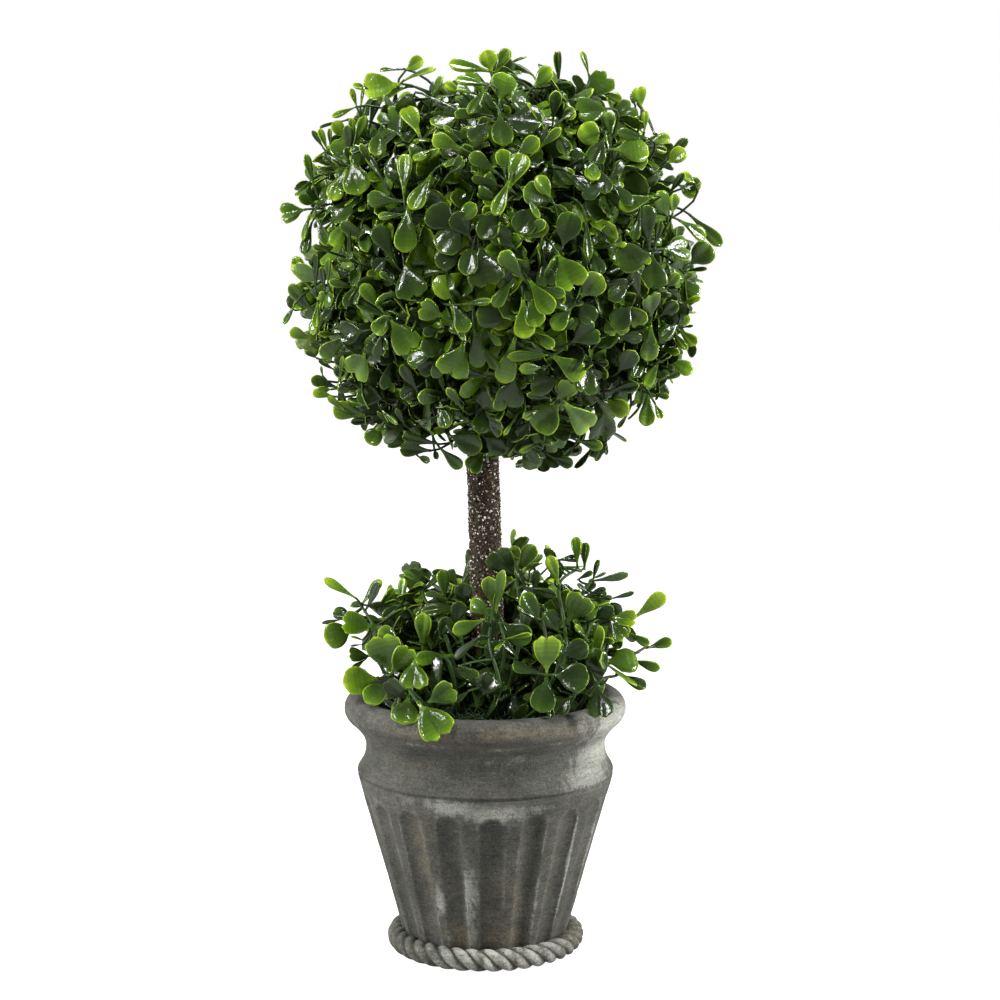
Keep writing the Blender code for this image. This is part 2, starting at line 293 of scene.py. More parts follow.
def plasticGroup():
    # moulded soft plastic: a slightly wavy skin whose gloss changes from place to place
    takes = {"Wave Scale": 260.0, "Gloss Low": 0.24, "Gloss High": 0.44}
    gives = {"Roughness": "NodeSocketFloat", "Height": "NodeSocketFloat"}
    tree, takesNode, givesNode = newGroup("mouldedPlastic", takes, gives)
    place = tree.nodes.new("ShaderNodeTexCoord").outputs["Object"]
    waveScale, glossLow, glossHigh = list(takesNode.outputs)[:3]
    wave, skin = (
        addNode(tree, "ShaderNodeTexNoise", {"Vector": place, "Scale": scale, "Detail": 2.0}).outputs["Fac"]
        for scale in (waveScale, 2100.0)
    )
    feed(tree, givesNode.inputs["Roughness"], remap(tree, wave, 0.35, 0.65, glossLow, glossHigh))
    feed(tree, givesNode.inputs["Height"], maths(tree, "ADD", wave, maths(tree, "MULTIPLY", skin, 0.12)))
    return tree


def gritGroup():
    # crushed grit or moss: two colours broken up by a fine grain
    takes = {"Dark": (0.02, 0.02, 0.02, 1.0), "Light": (0.1, 0.1, 0.1, 1.0), "Scale": 900.0}
    gives = {"Colour": "NodeSocketColor", "Height": "NodeSocketFloat"}
    tree, takesNode, givesNode = newGroup("crushedGrit", takes, gives)
    value = takesNode.outputs
    place = tree.nodes.new("ShaderNodeTexCoord").outputs["Object"]
    grain = addNode(tree, "ShaderNodeTexNoise", {"Vector": place, "Scale": value["Scale"], "Detail": 4.0})
    share = remap(tree, grain.outputs["Fac"], 0.36, 0.66)
    feed(tree, givesNode.inputs["Colour"], mixColour(tree, share, value["Dark"], value["Light"]))
    feed(tree, givesNode.inputs["Height"], grain.outputs["Fac"])
    return tree


def newMaterial(name, **plain):
    # plain holds the values that are the same all over, by socket
    material = bpy.data.materials.new(name)
    material.use_nodes = True
    tree = material.node_tree
    shader = tree.nodes["Principled BSDF"]
    for label, value in plain.items():
        shader.inputs[label.replace("_", " ")].default_value = value
    return material, tree, shader


def dress(tree, shader, group, values, strength, depth):
    # places a group, whose height makes the bumps, and hands what it gives to the shader
    given = addNode(tree, "ShaderNodeGroup", values, node_tree=group).outputs
    for output, taken in (("Colour", "Base Color"), ("Roughness", "Roughness")):
        if output in given:
            tree.links.new(given[output], shader.inputs[taken])
    inputs = {"Strength": strength, "Distance": depth, "Height": given["Height"]}
    bump = addNode(tree, "ShaderNodeBump", inputs)
    tree.links.new(bump.outputs["Normal"], shader.inputs["Normal"])


def dressedMaterial(name, group, values, bump, **plain):
    material, tree, shader = newMaterial(name, **plain)
    dress(tree, shader, group, values, *bump)
    return material


def plasticMaterial(name, colour, waveScale, gloss, bump, **plain):
    values = {"Wave Scale": waveScale, "Gloss Low": gloss[0], "Gloss High": gloss[1]}
    return dressedMaterial(name, mouldedPlastic, values, bump, Base_Color=colour, **plain)


cementPatina = cementGroup()
mouldedPlastic = plasticGroup()
crushedGrit = gritGroup()
print("shader groups built")


# Pot: a turned body with 18 hand-cut flutes, and a rope band laid round its foot

pot = {
    "lipCentre": (53.6 * mm, 104.0 * mm),
    "lipHalf": (6.1 * mm, 6.0 * mm),
    "lipUnderside": math.radians(-52),
    "neck": (50.8 * mm, 88.3 * mm),
    "shoulder": (54.5 * mm, 77.6 * mm),
    "collarGroove": (53.6 * mm, 76.3 * mm),
    "bodyTop": (54.3 * mm, 75.6 * mm),
    "footRadius": 33.4 * mm,
    "floor": (29.5 * mm, 9.0 * mm),
    "innerShoulder": (45.0 * mm, 78.0 * mm),
    "innerNeck": (45.4 * mm, 97.0 * mm),
    "middle": 0.4 * mm,  # radius of the caps
    "lipHandle": (-3.6 * mm, -3.4 * mm),
    "neckHandleUp": (0, 4.2 * mm),
    "neckHandleDown": (0, -6.3 * mm),
    "shoulderHandle": (-0.3 * mm, 1.9 * mm),
    "columns": 18 * 24,
    "bodyRows": 60,
    "fluteCount": 18,
    "fluteDepth": 2.0 * mm,
    "fluteTop": 69.0 * mm,
    "fluteHalfTop": 5.5 * mm,
    "fluteHalfFoot": 4.3 * mm,
    "fluteTurn": math.radians(-86.9),
    "fluteTurnError": 0.004,
    "fluteTopError": 0.9,
    "fluteDepthShare": (0.65, 1.05),
    "fluteCurve": (2.4, 0.9),
    "edgeAt": (1.08, 0.26),  # middle and width as shares of the half flute
    "arrisAt": (1.02, 0.13),
    "unevenness": 0.28 * mm,
    "roughGap": 30,  # rows inside the lip that are uneven too
    "roughLayers": ((1.0, 24, 0.0), (0.35, 6, 3.1), (0.16, 2.4, 5.3)),
    "chipLayers": ((1.0, 4.2, 9.7),),
    "chipFrom": 0.28,
    "chipDepth": 0.9 * mm,
    "gritScale": 1900.0,
    "bump": (0.55, 0.5 * mm),
    "seed": 5,
    "groundDark": (0.041, 0.041, 0.034, 1.0),
    "groundLight": (0.094, 0.094, 0.079, 1.0),
    # pale wear colour, made bright enough to also paint the right-hand lamp's highlight
    "chalk": (0.38, 0.385, 0.335, 1.0),
    "stain": (0.152, 0.124, 0.074, 1.0),
}

rope = {
    "radius": 37.4 * mm,
    "height": 4.3 * mm,
    "strandOffset": 1.62 * mm,
    "strandRadius": 3.08 * mm,
    "turns": 12,  # of the three strands round the whole band
    "columns": 528,
    "around": 36,
    "slack": 0.05,
    "slackNoise": (5, 0),  # radius and height of the ring that the noise is read on
    "patchNoise": (9, 2),
    "gritScale": 1300.0,
    "rubbedAt": math.radians(-80),
    "rubbedHalf": math.radians(37),
    "rubbed": (0.22, 0.70),  # all round, and as much more at the place above
    "chalk": 1.25,
    "stain": 0.65,
}


def arcPoints(centre, half, start, end, count):
    turns = np.linspace(start, end, count)
    return [(centre[0] + half[0] * math.cos(t), centre[1] + half[1] * math.sin(t)) for t in turns]


def bendPoints(start, startHandle, end, endHandle, count):
    first, last = Vector(start).to_3d(), Vector(end).to_3d()
    corners = (first, first + Vector(startHandle).to_3d(), last + Vector(endHandle).to_3d(), last)
    return [tuple(point[:2]) for point in geometry.interpolate_bezier(*corners, count)][1:]


def straightPoints(start, end, count):
    return [tuple(point) for point in np.linspace(start, end, count)][1:]


def potOutline():
    # from the middle of the inner floor up the inside, over the lip and down to the middle of the underside
    lip = arcPoints(pot["lipCentre"], pot["lipHalf"], math.pi, pot["lipUnderside"], 28)
    points = [(pot["middle"], pot["floor"][1])]
    inside = (pot["floor"], 5), (pot["innerShoulder"], 10), (pot["innerNeck"], 8), (lip[0], 5)
    for corner, count in inside:
        points += straightPoints(points[-1], corner, count)
    points += lip[1:]
    points += bendPoints(lip[-1], pot["lipHandle"], pot["neck"], pot["neckHandleUp"], 12)
    points += bendPoints(pot["neck"], pot["neckHandleDown"], pot["shoulder"], pot["shoulderHandle"], 14)
    corners = [pot[name] for name in ("shoulder", "collarGroove", "bodyTop")]
    corners += [(pot["footRadius"], 0.0), (pot["middle"], 0.0)]
    for start, end, count in zip(corners, corners[1:], (4, 3, pot["bodyRows"], 8)):
        points += straightPoints(start, end, count)
    return np.array(points)


def turnedPoints(radius, angle, height):
    return np.stack([radius * np.cos(angle), radius * np.sin(angle), height], axis=-1)


def hump(value, centre, width):
    # 1 at the centre, falling smoothly to 0 about one width away
    return np.exp(-((value - centre) / (0.6 * width)) ** 2)


def turnGap(angle, centre):
    return (angle - centre + math.pi) % (2 * math.pi) - math.pi


# Rubbed and stained places: turn from the front in degrees (+ towards +X), height, half sizes, strength. The
# pale rows at turns 48 to 70 are painted highlight where the right-hand lamp falls; the other pale rows are
# rubbed wear
wornAndLitPlaces = [
    (-15, 73.0, 15, 3.6, 0.85),
    (4, 70.3, 16, 4.0, 0.85),
    (20, 72.0, 12, 1.8, 0.55),
    (-38, 73.6, 14, 2.6, 0.35),
    (-62, 66.0, 14, 14.0, 0.22),
    (-8.5, 34.0, 4.8, 17.0, 0.70),
    (-8, 16.0, 3.5, 9.0, 0.48),
    (-27, 29.0, 3.8, 7.0, 0.75),
    (-22, 14.0, 3.0, 5.0, 0.40),
    (30, 30.0, 4.0, 20.0, 0.24),
    # painted highlight on the ridges that face the right-hand lamp
    (48, 40.0, 3.0, 22.0, 0.30),
    (70, 45.0, 10.0, 26.0, 0.20),
    (-80, 40.0, 10.0, 24.0, 0.20),
    (0, 108.0, 180, 2.2, 0.15),
    # painted highlight where the right-hand lamp lights the lip, the neck and the shoulder
    (68, 102.0, 26, 9.0, 1.00),
    (70, 90.0, 26, 8.0, 1.00),
    (56, 82.0, 20, 7.0, 0.75),
    (-70, 99.0, 22, 8.0, 0.30),
    (10, 92.5, 24, 2.6, 0.40),
    (-28, 99.0, 12, 1.3, 0.55),
    (9, 98.4, 7, 0.9, 0.60),
    (30, 99.4, 8, 0.8, 0.45),
    (150, 60.0, 30, 20.0, 0.40),
    (205, 30.0, 25, 14.0, 0.40),
    (175, 100.0, 30, 6.0, 0.35),
]
stainPlaces = [
    (6, 104.8, 46, 2.3, 0.95),
    (45, 103.0, 24, 3.0, 0.50),
    (-34, 103.0, 20, 3.0, 0.45),
    (-34, 46.0, 5.0, 20.0, 0.65),
    (-18, 12.0, 10.0, 7.0, 1.00),
    (12, 12.0, 12.0, 8.0, 1.00),
    (16, 26.0, 5.0, 16.0, 0.60),
    (18, 52.0, 4.0, 16.0, 0.35),
    (38, 50.0, 4.0, 18.0, 0.40),
    (-60, 96.0, 14, 4.0, 0.50),
    (160, 20.0, 40, 10.0, 0.60),
    (215, 60.0, 12, 20.0, 0.45),
    (120, 97.0, 40, 4.0, 0.50),
]


def placedMask(places, angle, height):
    mask = np.zeros_like(angle)
    for turn, rise, halfTurn, halfRise, strength in places:
        across = turnGap(angle, math.radians(turn - 90)) / math.radians(halfTurn)
        above = (height - rise * mm) / (halfRise * mm)
        mask = np.maximum(mask, strength * np.exp(-across ** 2 - above ** 2))
    return mask


def paintMask(thing, name, values):
    layer = thing.data.attributes.new(name, "FLOAT", "POINT")
    layer.data.foreach_set("value", np.clip(values, 0, 1).astype(np.float32).ravel())


def unwrapGrid(thing, rows, columns, rise):
    # a seam-true unwrap of a turned grid: round the axis, and along the outline
    layer = thing.data.uv_layers.new(name="OFBake")
    corner = np.zeros(len(thing.data.loops), dtype=np.int32)
    thing.data.loops.foreach_get("vertex_index", corner)
    column = (corner % columns).reshape(-1, 4)
    wraps = (column.max(axis=1) - column.min(axis=1)) > columns // 2
    u = column / columns
    u[wraps[:, None] & (column < columns // 2)] += 1.0
    margin, room = 0.01, 0.98
    across = margin + room * u.ravel() * columns / (columns + 1)
    flat = np.stack([across, margin + room * rise[corner // columns]], axis=1)
    layer.data.foreach_set("uv", flat.astype(np.float32).ravel())


def cementMaterial(name, gritScale):
    material, tree, shader = newMaterial(name, Metallic=0.0)
    values = {
        "Ground Dark": pot["groundDark"],
        "Ground Light": pot["groundLight"],
        "Chalk": pot["chalk"],
        "Stain": pot["stain"],
        "Grit Scale": gritScale,
    }
    for label in ("Chalk", "Stain", "Dirt"):
        mask = addNode(tree, "ShaderNodeAttribute", attribute_name=label.lower())
        values[label + " Mask"] = mask.outputs["Fac"]
    dress(tree, shader, cementPatina, values, *pot["bump"])
    return material


def cutFlutes(angle, radius, height):
    # how deep each point lies in a flute, and how near it is to a flute's edge and to its right arris
    rng = random.Random(pot["seed"])
    sink, edge, arris = (np.zeros_like(radius) for _ in range(3))
    bow, soft = pot["fluteCurve"]
    for k in range(pot["fluteCount"]):
        centre = pot["fluteTurn"] + 2 * math.pi * k / pot["fluteCount"]
        centre += rng.uniform(-pot["fluteTurnError"], pot["fluteTurnError"])
        top = pot["fluteTop"] + rng.uniform(-pot["fluteTopError"], pot["fluteTopError"]) * mm
        depth = pot["fluteDepth"] * rng.uniform(*pot["fluteDepthShare"])
        half = pot["fluteHalfFoot"] + (pot["fluteHalfTop"] - pot["fluteHalfFoot"]) * height / top
        across = turnGap(angle, centre) * radius
        rise = np.maximum(0, height - (top - half))
        reach = np.hypot(across, rise) / half
        sink = np.maximum(sink, depth * np.clip(1 - reach ** bow, 0, 1) ** soft)
        edge = np.maximum(edge, hump(reach, *pot["edgeAt"]))
        arris = np.maximum(arris, hump(reach, *pot["arrisAt"]) * (across > 0))
    return sink, edge, arris


# How strongly the edges are rubbed, the painted highlight on the right-hand arrises, and how much darker
# each part of the pot is made, with painted shade in the collar groove and under the lip
potWear = {
    "edgeChalk": 0.26,
    "edgePatchy": (0.45, 2.2),
    "sunkChalk": (1.15, -1.3),
    "arrisChalk": 0.9,
    "arrisHighlightPlace": (54, 46.0, 22, 30.0, 1.0),
    "fluteDirt": 0.36,
    "collarDirt": 0.5,
    "collarHalf": 1.2 * mm,
    "footDirt": 0.35,
    "footAt": (5 * mm, 4 * mm),
    "neckDirt": 0.14,
    "neckTop": 96 * mm,
    "insideTop": 100 * mm,
    "lipDirt": 0.75,
    "lipAt": (101.2 * mm, 1.3 * mm),
    "lipPatchy": (0.6, 1.6),
}


def patchy(values, base, gain):
    # values turned into a share from 0 to 1
    return np.clip(base + gain * values, 0, 1)


def wearPot(made, angle, height, sink, edge, arris, rough, outside, onBody):
    sunk = sink / pot["fluteDepth"]
    worn = patchy(rough, *potWear["edgePatchy"])  # the flutes' edges are rubbed only in places
    chalk = placedMask(wornAndLitPlaces, angle, height) * outside + potWear["edgeChalk"] * edge * worn
    # painted highlight: a pale strip along each flute's right-hand arris on the right side, where the
    # right-hand lamp grazes the ridges
    arrisHighlightMask = placedMask([potWear["arrisHighlightPlace"]], angle, height)
    chalk = chalk + potWear["arrisChalk"] * arris * onBody * arrisHighlightMask
    chalk = chalk * patchy(sunk, *potWear["sunkChalk"])
    stain = placedMask(stainPlaces, angle, height) * outside

    # painted shade along the collar groove
    collar = hump(height, pot["collarGroove"][1], potWear["collarHalf"]) * outside
    neck = (height > pot["bodyTop"][1]) & (height < potWear["neckTop"]) & outside
    dirt = potWear["fluteDirt"] * sunk + potWear["collarDirt"] * collar
    dirt = dirt + potWear["footDirt"] * hump(height, *potWear["footAt"]) * onBody
    dirt = dirt + potWear["neckDirt"] * neck + ~outside * (height < potWear["insideTop"])
    # painted shade along the crease under the lip, broken up in places
    underLip = hump(height, *potWear["lipAt"]) * outside
    dirt = dirt + potWear["lipDirt"] * underLip * patchy(rough, *potWear["lipPatchy"])
    for label, mask in (("chalk", chalk), ("stain", stain), ("dirt", dirt)):
        paintMask(made, label, mask)


def buildPot():
    outline = potOutline()
    rows, columns = len(outline), pot["columns"]
    radius = np.repeat(outline[:, :1], columns, axis=1)
    height = np.repeat(outline[:, 1:], columns, axis=1)
    angle = np.repeat((evenTurns(columns) + pot["fluteTurn"])[None], rows, axis=0)
    lipRow = int(np.argmax(outline[:, 1]))
    outside = np.arange(rows)[:, None] >= lipRow
    onBody = outside & (height < pot["bodyTop"][1] - 0.1 * mm) & (radius > pot["footRadius"] - 0.1 * mm)
    sink, edge, arris = cutFlutes(angle, radius, height)
    sink, edge = sink * onBody, edge * onBody

    points = turnedPoints(radius, angle, height)
    rough, chips = np.zeros_like(radius), np.zeros_like(radius)
    for i in range(lipRow - pot["roughGap"], rows):
        for j in range(columns if outline[i, 1] > 0.0 else 0):
            rough[i, j] = layered(points[i, j], pot["roughLayers"])
            chips[i, j] = max(0.0, layered(points[i, j], pot["chipLayers"]) - pot["chipFrom"])
    uneven = pot["unevenness"] * rough
    radius = radius - sink + uneven * (outside & (height > 0)) - pot["chipDepth"] * chips * edge
    height = height + 0.4 * uneven * (outline[:, 1:] > 100 * mm)

    store = newStore()
    points = turnedPoints(radius, angle, height).reshape(-1, 3)
    addShape(store, points, shellQuads(rows, columns)[:, ::-1], 0)
    made = makeObject("pot_body", store, [cementMaterial("cementPot", pot["gritScale"])])
    wearPot(made, angle, height, sink, edge, arris, rough, outside, onBody)
    steps = np.hypot(*np.diff(outline, axis=0).T)
    unwrapGrid(made, rows, columns, np.concatenate([[0], np.cumsum(steps)]) / steps.sum())
    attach(made, "root")
    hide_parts("pot")


def strandTurn(turn):
    # the turn from the middle of the nearest of three strands
    return (turn + math.pi / 3) % (2 * math.pi / 3) - math.pi / 3


def ropeEdge(turn):
    # how far the outside of three laid strands is from the rope's middle
    offset, strand, nearest = rope["strandOffset"], rope["strandRadius"], strandTurn(turn)
    return offset * np.cos(nearest) + np.sqrt(strand ** 2 - (offset * np.sin(nearest)) ** 2)


def ringNoise(turns, radius, height):
    return np.array([[wobble(spotAt(radius, turn, height), 1.0) for turn in turns]]).T


def buildRope():
    columns, around = rope["columns"], rope["around"]
    angle, turn = np.meshgrid(evenTurns(columns), evenTurns(around), indexing="ij")
    laid = turn - rope["turns"] * angle  # the grid follows the strands, so their creases stay sharp
    reach = ropeEdge(turn) * (1 + rope["slack"] * ringNoise(angle[:, 0], *rope["slackNoise"]))
    radius = rope["radius"] + reach * np.cos(laid)
    height = np.maximum(rope["height"] + reach * np.sin(laid), 0.0)
    joint = np.arange(around)
    following, lastRing = (joint + 1) % around, (columns - 1) * around
    closing = np.stack([lastRing + joint, lastRing + following, following, joint], axis=-1)
    quads = np.concatenate([gridQuads(columns, around, closed=True), closing])
    store = newStore()
    addShape(store, turnedPoints(radius, angle, height).reshape(-1, 3), quads[:, ::-1], 0)
    made = makeObject("pot_rope", store, [cementMaterial("cementRope", rope["gritScale"])])

    crease = np.abs(strandTurn(turn)) / (math.pi / 3)
    top = np.clip((height - rope["height"]) / (4 * mm), 0, 1)
    front = np.exp(-(turnGap(angle, rope["rubbedAt"]) / rope["rubbedHalf"]) ** 2)
    patch = ringNoise(angle[:, 0], *rope["patchNoise"])
    allRound, more = rope["rubbed"]
    rubbed = allRound + more * front * np.clip(0.75 + 1.4 * patch, 0.25, 1)
    paintMask(made, "chalk", rope["chalk"] * rubbed * (1 - crease ** 3) * (0.9 + 0.1 * top))
    paintMask(made, "stain", rope["stain"] * patchy(patch, 0.35, -1.5) * (1 - 0.4 * top))
    paintMask(made, "dirt", crease ** 6 + 0.5 * (radius < rope["radius"]))
    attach(made, "root")


buildPot()
buildRope()
print("pot and rope band built")


# Plug: a domed pad of dark moss with fine blades, filling the pot round the trunk

plug = {
    "edgeRadius": 44.4 * mm,
    "bottom": 80.0 * mm,
    "edgeHeight": 98.2 * mm,
    "centreHeight": 101.0 * mm,
    "rings": 30,
    "columns": 96,
    "middle": 0.3 * mm,  # radius of the caps
    "lumps": 1.3 * mm,
    "lumpLayers": ((0.7, 7, 0.0), (0.5, 2.6, 4.0)),
    "moss": {"Dark": (0.008, 0.012, 0.006, 1.0), "Light": (0.028, 0.044, 0.018, 1.0), "Scale": 700.0},
    "mossBump": (0.8, 0.8 * mm),
    "bladeGreen": (0.016, 0.044, 0.012, 1.0),
    "blades": 1500,
    "bladeTall": (4.0 * mm, 10.0 * mm),
    "bladeWide": 0.8 * mm,
    "bladeTip": 0.12 * mm,
    "bladeLean": 0.5,
    "bladeCurl": 0.25,
    "seed": 21,
}


def plugHeight(x, y):
    share = min(1.0, math.hypot(x, y) / plug["edgeRadius"])
    dome = plug["centreHeight"] + (plug["edgeHeight"] - plug["centreHeight"]) * share ** 2
    return dome + plug["lumps"] * layered((x, y, 0), plug["lumpLayers"])


def setOnMoss(spot, lift):
    spot.z = plugHeight(spot.x, spot.y) + lift
    return spot


def buildPlug():
    moss = dressedMaterial("darkMoss", crushedGrit, plug["moss"], plug["mossBump"], Roughness=0.95)
    blade = plasticMaterial("mossBlade", plug["bladeGreen"], 260.0, (0.24, 0.44), (0.3, 0.3 * mm))
    store = newStore()
    turns = evenTurns(plug["columns"])
    top = np.linspace(plug["middle"], plug["edgeRadius"], plug["rings"])
    radii = (*top, plug["edgeRadius"], plug["middle"])
    rings = [[(r * math.cos(t), r * math.sin(t)) for t in turns] for r in radii]
    points = np.array([
        [(x, y, plugHeight(x, y) if n < len(top) else plug["bottom"]) for x, y in ring]
        for n, ring in enumerate(rings)
    ])
    addShape(store, points.reshape(-1, 3), shellQuads(len(rings), len(turns))[:, ::-1], 0)

    rng = random.Random(plug["seed"])
    lean, curl, wide = plug["bladeLean"], plug["bladeCurl"], plug["bladeWide"]
    for _ in range(plug["blades"]):
        r = plug["edgeRadius"] * math.sqrt(rng.uniform(0.03, 0.96))
        foot = setOnMoss(spotAt(r, rng.uniform(0, 2 * math.pi)), -0.6 * mm)
        heading = Vector((rng.gauss(0, lean), rng.gauss(0, lean), 1)).normalized()
        tall = rng.uniform(*plug["bladeTall"])
        middle = foot + heading * tall * 0.5
        tip = foot + (heading + Vector((rng.gauss(0, curl), rng.gauss(0, curl), 0))) * tall
        addTube(store, [foot, middle, tip], [wide / 2, wide / 2.2, plug["bladeTip"]], 1, sides=4)
    made = makeObject("plug_moss_pad", store, [moss, blade])
    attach(made, "root")
    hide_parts("plug")


buildPlug()
print("moss pad built")


# Trunk: a straight stem coated in glued grit

trunk = {
    "foot": Vector((3.0, 0.0, 60.0)) * mm,
    "tip": Vector((-3.0, 0.0, 286.0)) * mm,
    "footRadius": 6.75 * mm,
    "tipRadius": 6.35 * mm,
    "columns": 56,
    "rows": 330,
    "bumps": 0.55 * mm,
    "bumpLayers": ((0.55, 4.5, 0.0), (0.6, 1.9, 2.0), (0.4, 0.9, 6.0)),
    "coat": {"Dark": (0.011, 0.008, 0.004, 1.0), "Light": (0.069, 0.048, 0.025, 1.0), "Scale": 1100.0},
    "coatBump": (0.9, 0.5 * mm),
    "grains": 7000,
    "grainSize": (0.28 * mm, 0.62 * mm),
    "grainFrom": 96 * mm,
    "grainTo": 232 * mm,
    "grainStretch": (0.6, 1.25),
    "grainTurn": 6.28,
    "grainTilt": 1.5,
    "seed": 33,
}
# The colour of each sort of grain, and its share
gritColours = {
    "gritDark": ((0.013, 0.009, 0.005, 1.0), 52),
    "gritBrown": ((0.052, 0.032, 0.014, 1.0), 34),
    "gritTan": ((0.190, 0.140, 0.090, 1.0), 14),
    "gritPale": ((0.600, 0.550, 0.460, 1.0), 12),
    # near-white grains: pale grit that also serves as painted glints on the coat
    "gritWhiteGlint": ((0.90, 0.88, 0.84, 1.0), 10),
}


def trunkShare(z):
    return (z - trunk["foot"].z) / (trunk["tip"].z - trunk["foot"].z)


def trunkCentre(z):
    return trunk["foot"].lerp(trunk["tip"], trunkShare(z))


def trunkSkin(t, z):
    # a point on the lumpy skin, t round the stem
    centre = trunkCentre(z)
    radius = trunk["footRadius"] + (trunk["tipRadius"] - trunk["footRadius"]) * trunkShare(z)
    flat = unitFrom(t) * radius
    lumps = layered(centre + flat, trunk["bumpLayers"])
    return centre + flat * (1 + trunk["bumps"] * lumps / trunk["footRadius"])


def buildTrunk():
    plain = {"Roughness": 0.8, "Specular_IOR_Level": 0.25}
    bark = dressedMaterial("gritCoat", crushedGrit, trunk["coat"], trunk["coatBump"], **plain)
    columns, rows = trunk["columns"], trunk["rows"]
    heights = np.linspace(trunk["foot"].z, trunk["tip"].z, rows)
    store = newStore()
    points = np.array([trunkSkin(t, z) for z in heights for t in evenTurns(columns)])
    addShape(store, points, shellQuads(rows, columns), 0)
    made = makeObject("trunk_stem", store, [bark])
    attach(made, "root")
    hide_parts("trunk")


def buildGrains():
    # each grain is a squashed, turned cube, flat sided so that it catches the light
    rng = random.Random(trunk["seed"])
    materials = [
        plasticMaterial(name, colour, 1500.0, (0.2, 0.55), (0.3, 0.1 * mm))
        for name, (colour, _) in gritColours.items()
    ]
    shares = [share for _, share in gritColours.values()]
    block = np.array([(x, y, z) for x in (-1, 1) for y in (-1, 1) for z in (-1, 1)]) / math.sqrt(3)
    sides = np.array([(0, 1, 3, 2), (4, 6, 7, 5), (0, 4, 5, 1), (2, 3, 7, 6), (0, 2, 6, 4), (1, 5, 7, 3)])
    anyTurn, tilt = trunk["grainTurn"], trunk["grainTilt"]
    store = newStore()
    for _ in range(trunk["grains"]):
        z = rng.uniform(trunk["grainFrom"], trunk["grainTo"])
        spot = trunkSkin(rng.uniform(0, 2 * math.pi), z)
        size = rng.uniform(*trunk["grainSize"])
        roll = rng.uniform(0, anyTurn)
        turned = Matrix.Rotation(roll, 3, unitFrom(rng.uniform(0, anyTurn), rng.uniform(-tilt, tilt)))
        stretch = np.array([rng.uniform(*trunk["grainStretch"]) for _ in range(3)])
        kind = rng.choices(range(len(materials)), shares)[0]
        addShape(store, (block * stretch * size) @ np.array(turned) + np.array(spot), sides, kind)
    made = makeObject("trunk_grit", store, materials, smooth=False)
    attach(made, "root")


buildTrunk()
buildGrains()
print("trunk built")


# Leaves: moulded blades with a centre groove, a bevelled rim and a thinner stalk

leaf = {
    "stations": (0.0, 0.18, 0.34, 0.50, 0.66, 0.80, 0.92, 1.0),
    "thickness": 0.55 * mm,
    "rim": 0.34 * mm,
    "rimDrop": 0.1 * mm,
    "rimThin": 0.75,
    "dipFrom": (0.74, 0.26),  # where along the length the end starts to round off, and its run
    "bladeFrom": (0.22, 0.4),
    "grooveHalf": 0.5,
    "leastBend": 0.02,
    # paler tips and rim: the leaves' own lime colour, and also a painted glow of light through the thin
    # plastic
    "paleTip": (0.40, 0.60, 1.3, 0.72),  # start, run, power and strength
    "paleStalk": (0.34, 0.75),
    "paleEdge": (6, 0.44),
    "rimPale": (0.10, 0.40),
    "backTone": 1.1,
    "specular": 0.45,
    "waveScale": 270.0,
    "frontGloss": (0.09, 0.26),
    "backGloss": (0.30, 0.46),
    "bump": (0.42, 1.1 * mm),
    "greens": 32,
    "greenStops": (
        (0.0, (0.0150, 0.0310, 0.0050)),
        (0.25, (0.0230, 0.0510, 0.0046)),
        (0.50, (0.0480, 0.1060, 0.0046)),
        (0.75, (0.1300, 0.2450, 0.0075)),
        (1.0, (0.3500, 0.5000, 0.0240)),
    ),
    "backStops": (
        (0.0, (0.0260, 0.0460, 0.0130)),
        (0.5, (0.0520, 0.0960, 0.0180)),
        (1.0, (0.1250, 0.1950, 0.0340)),
    ),
    "backs": 4,
}
leafKinds = {
    "spoon": {
        "long": 17.5 * mm, "wide": 7.6 * mm, "widths": (0.17, 0.24, 0.46, 0.74, 0.96, 1.0, 0.80, 0.42),
        "tipDrop": 0.030, "notch": 0.0, "groove": 0.35 * mm, "share": 34,
    },
    "round": {
        "long": 15.5 * mm, "wide": 11.6 * mm, "widths": (0.12, 0.18, 0.66, 0.92, 1.0, 0.95, 0.76, 0.50),
        "tipDrop": 0.060, "notch": 0.0, "groove": 0.45 * mm, "share": 22,
    },
    "heart": {
        "long": 15.5 * mm, "wide": 11.8 * mm, "widths": (0.10, 0.16, 0.58, 0.85, 0.98, 1.0, 0.88, 0.72),
        "tipDrop": 0.14, "notch": 0.16, "groove": 0.70 * mm, "share": 26,
    },
    "narrow": {
        "long": 14.5 * mm, "wide": 5.4 * mm, "widths": (0.22, 0.25, 0.46, 0.76, 0.97, 1.0, 0.76, 0.40),
        "tipDrop": 0.025, "notch": 0.0, "groove": 0.30 * mm, "share": 18,
    },
}


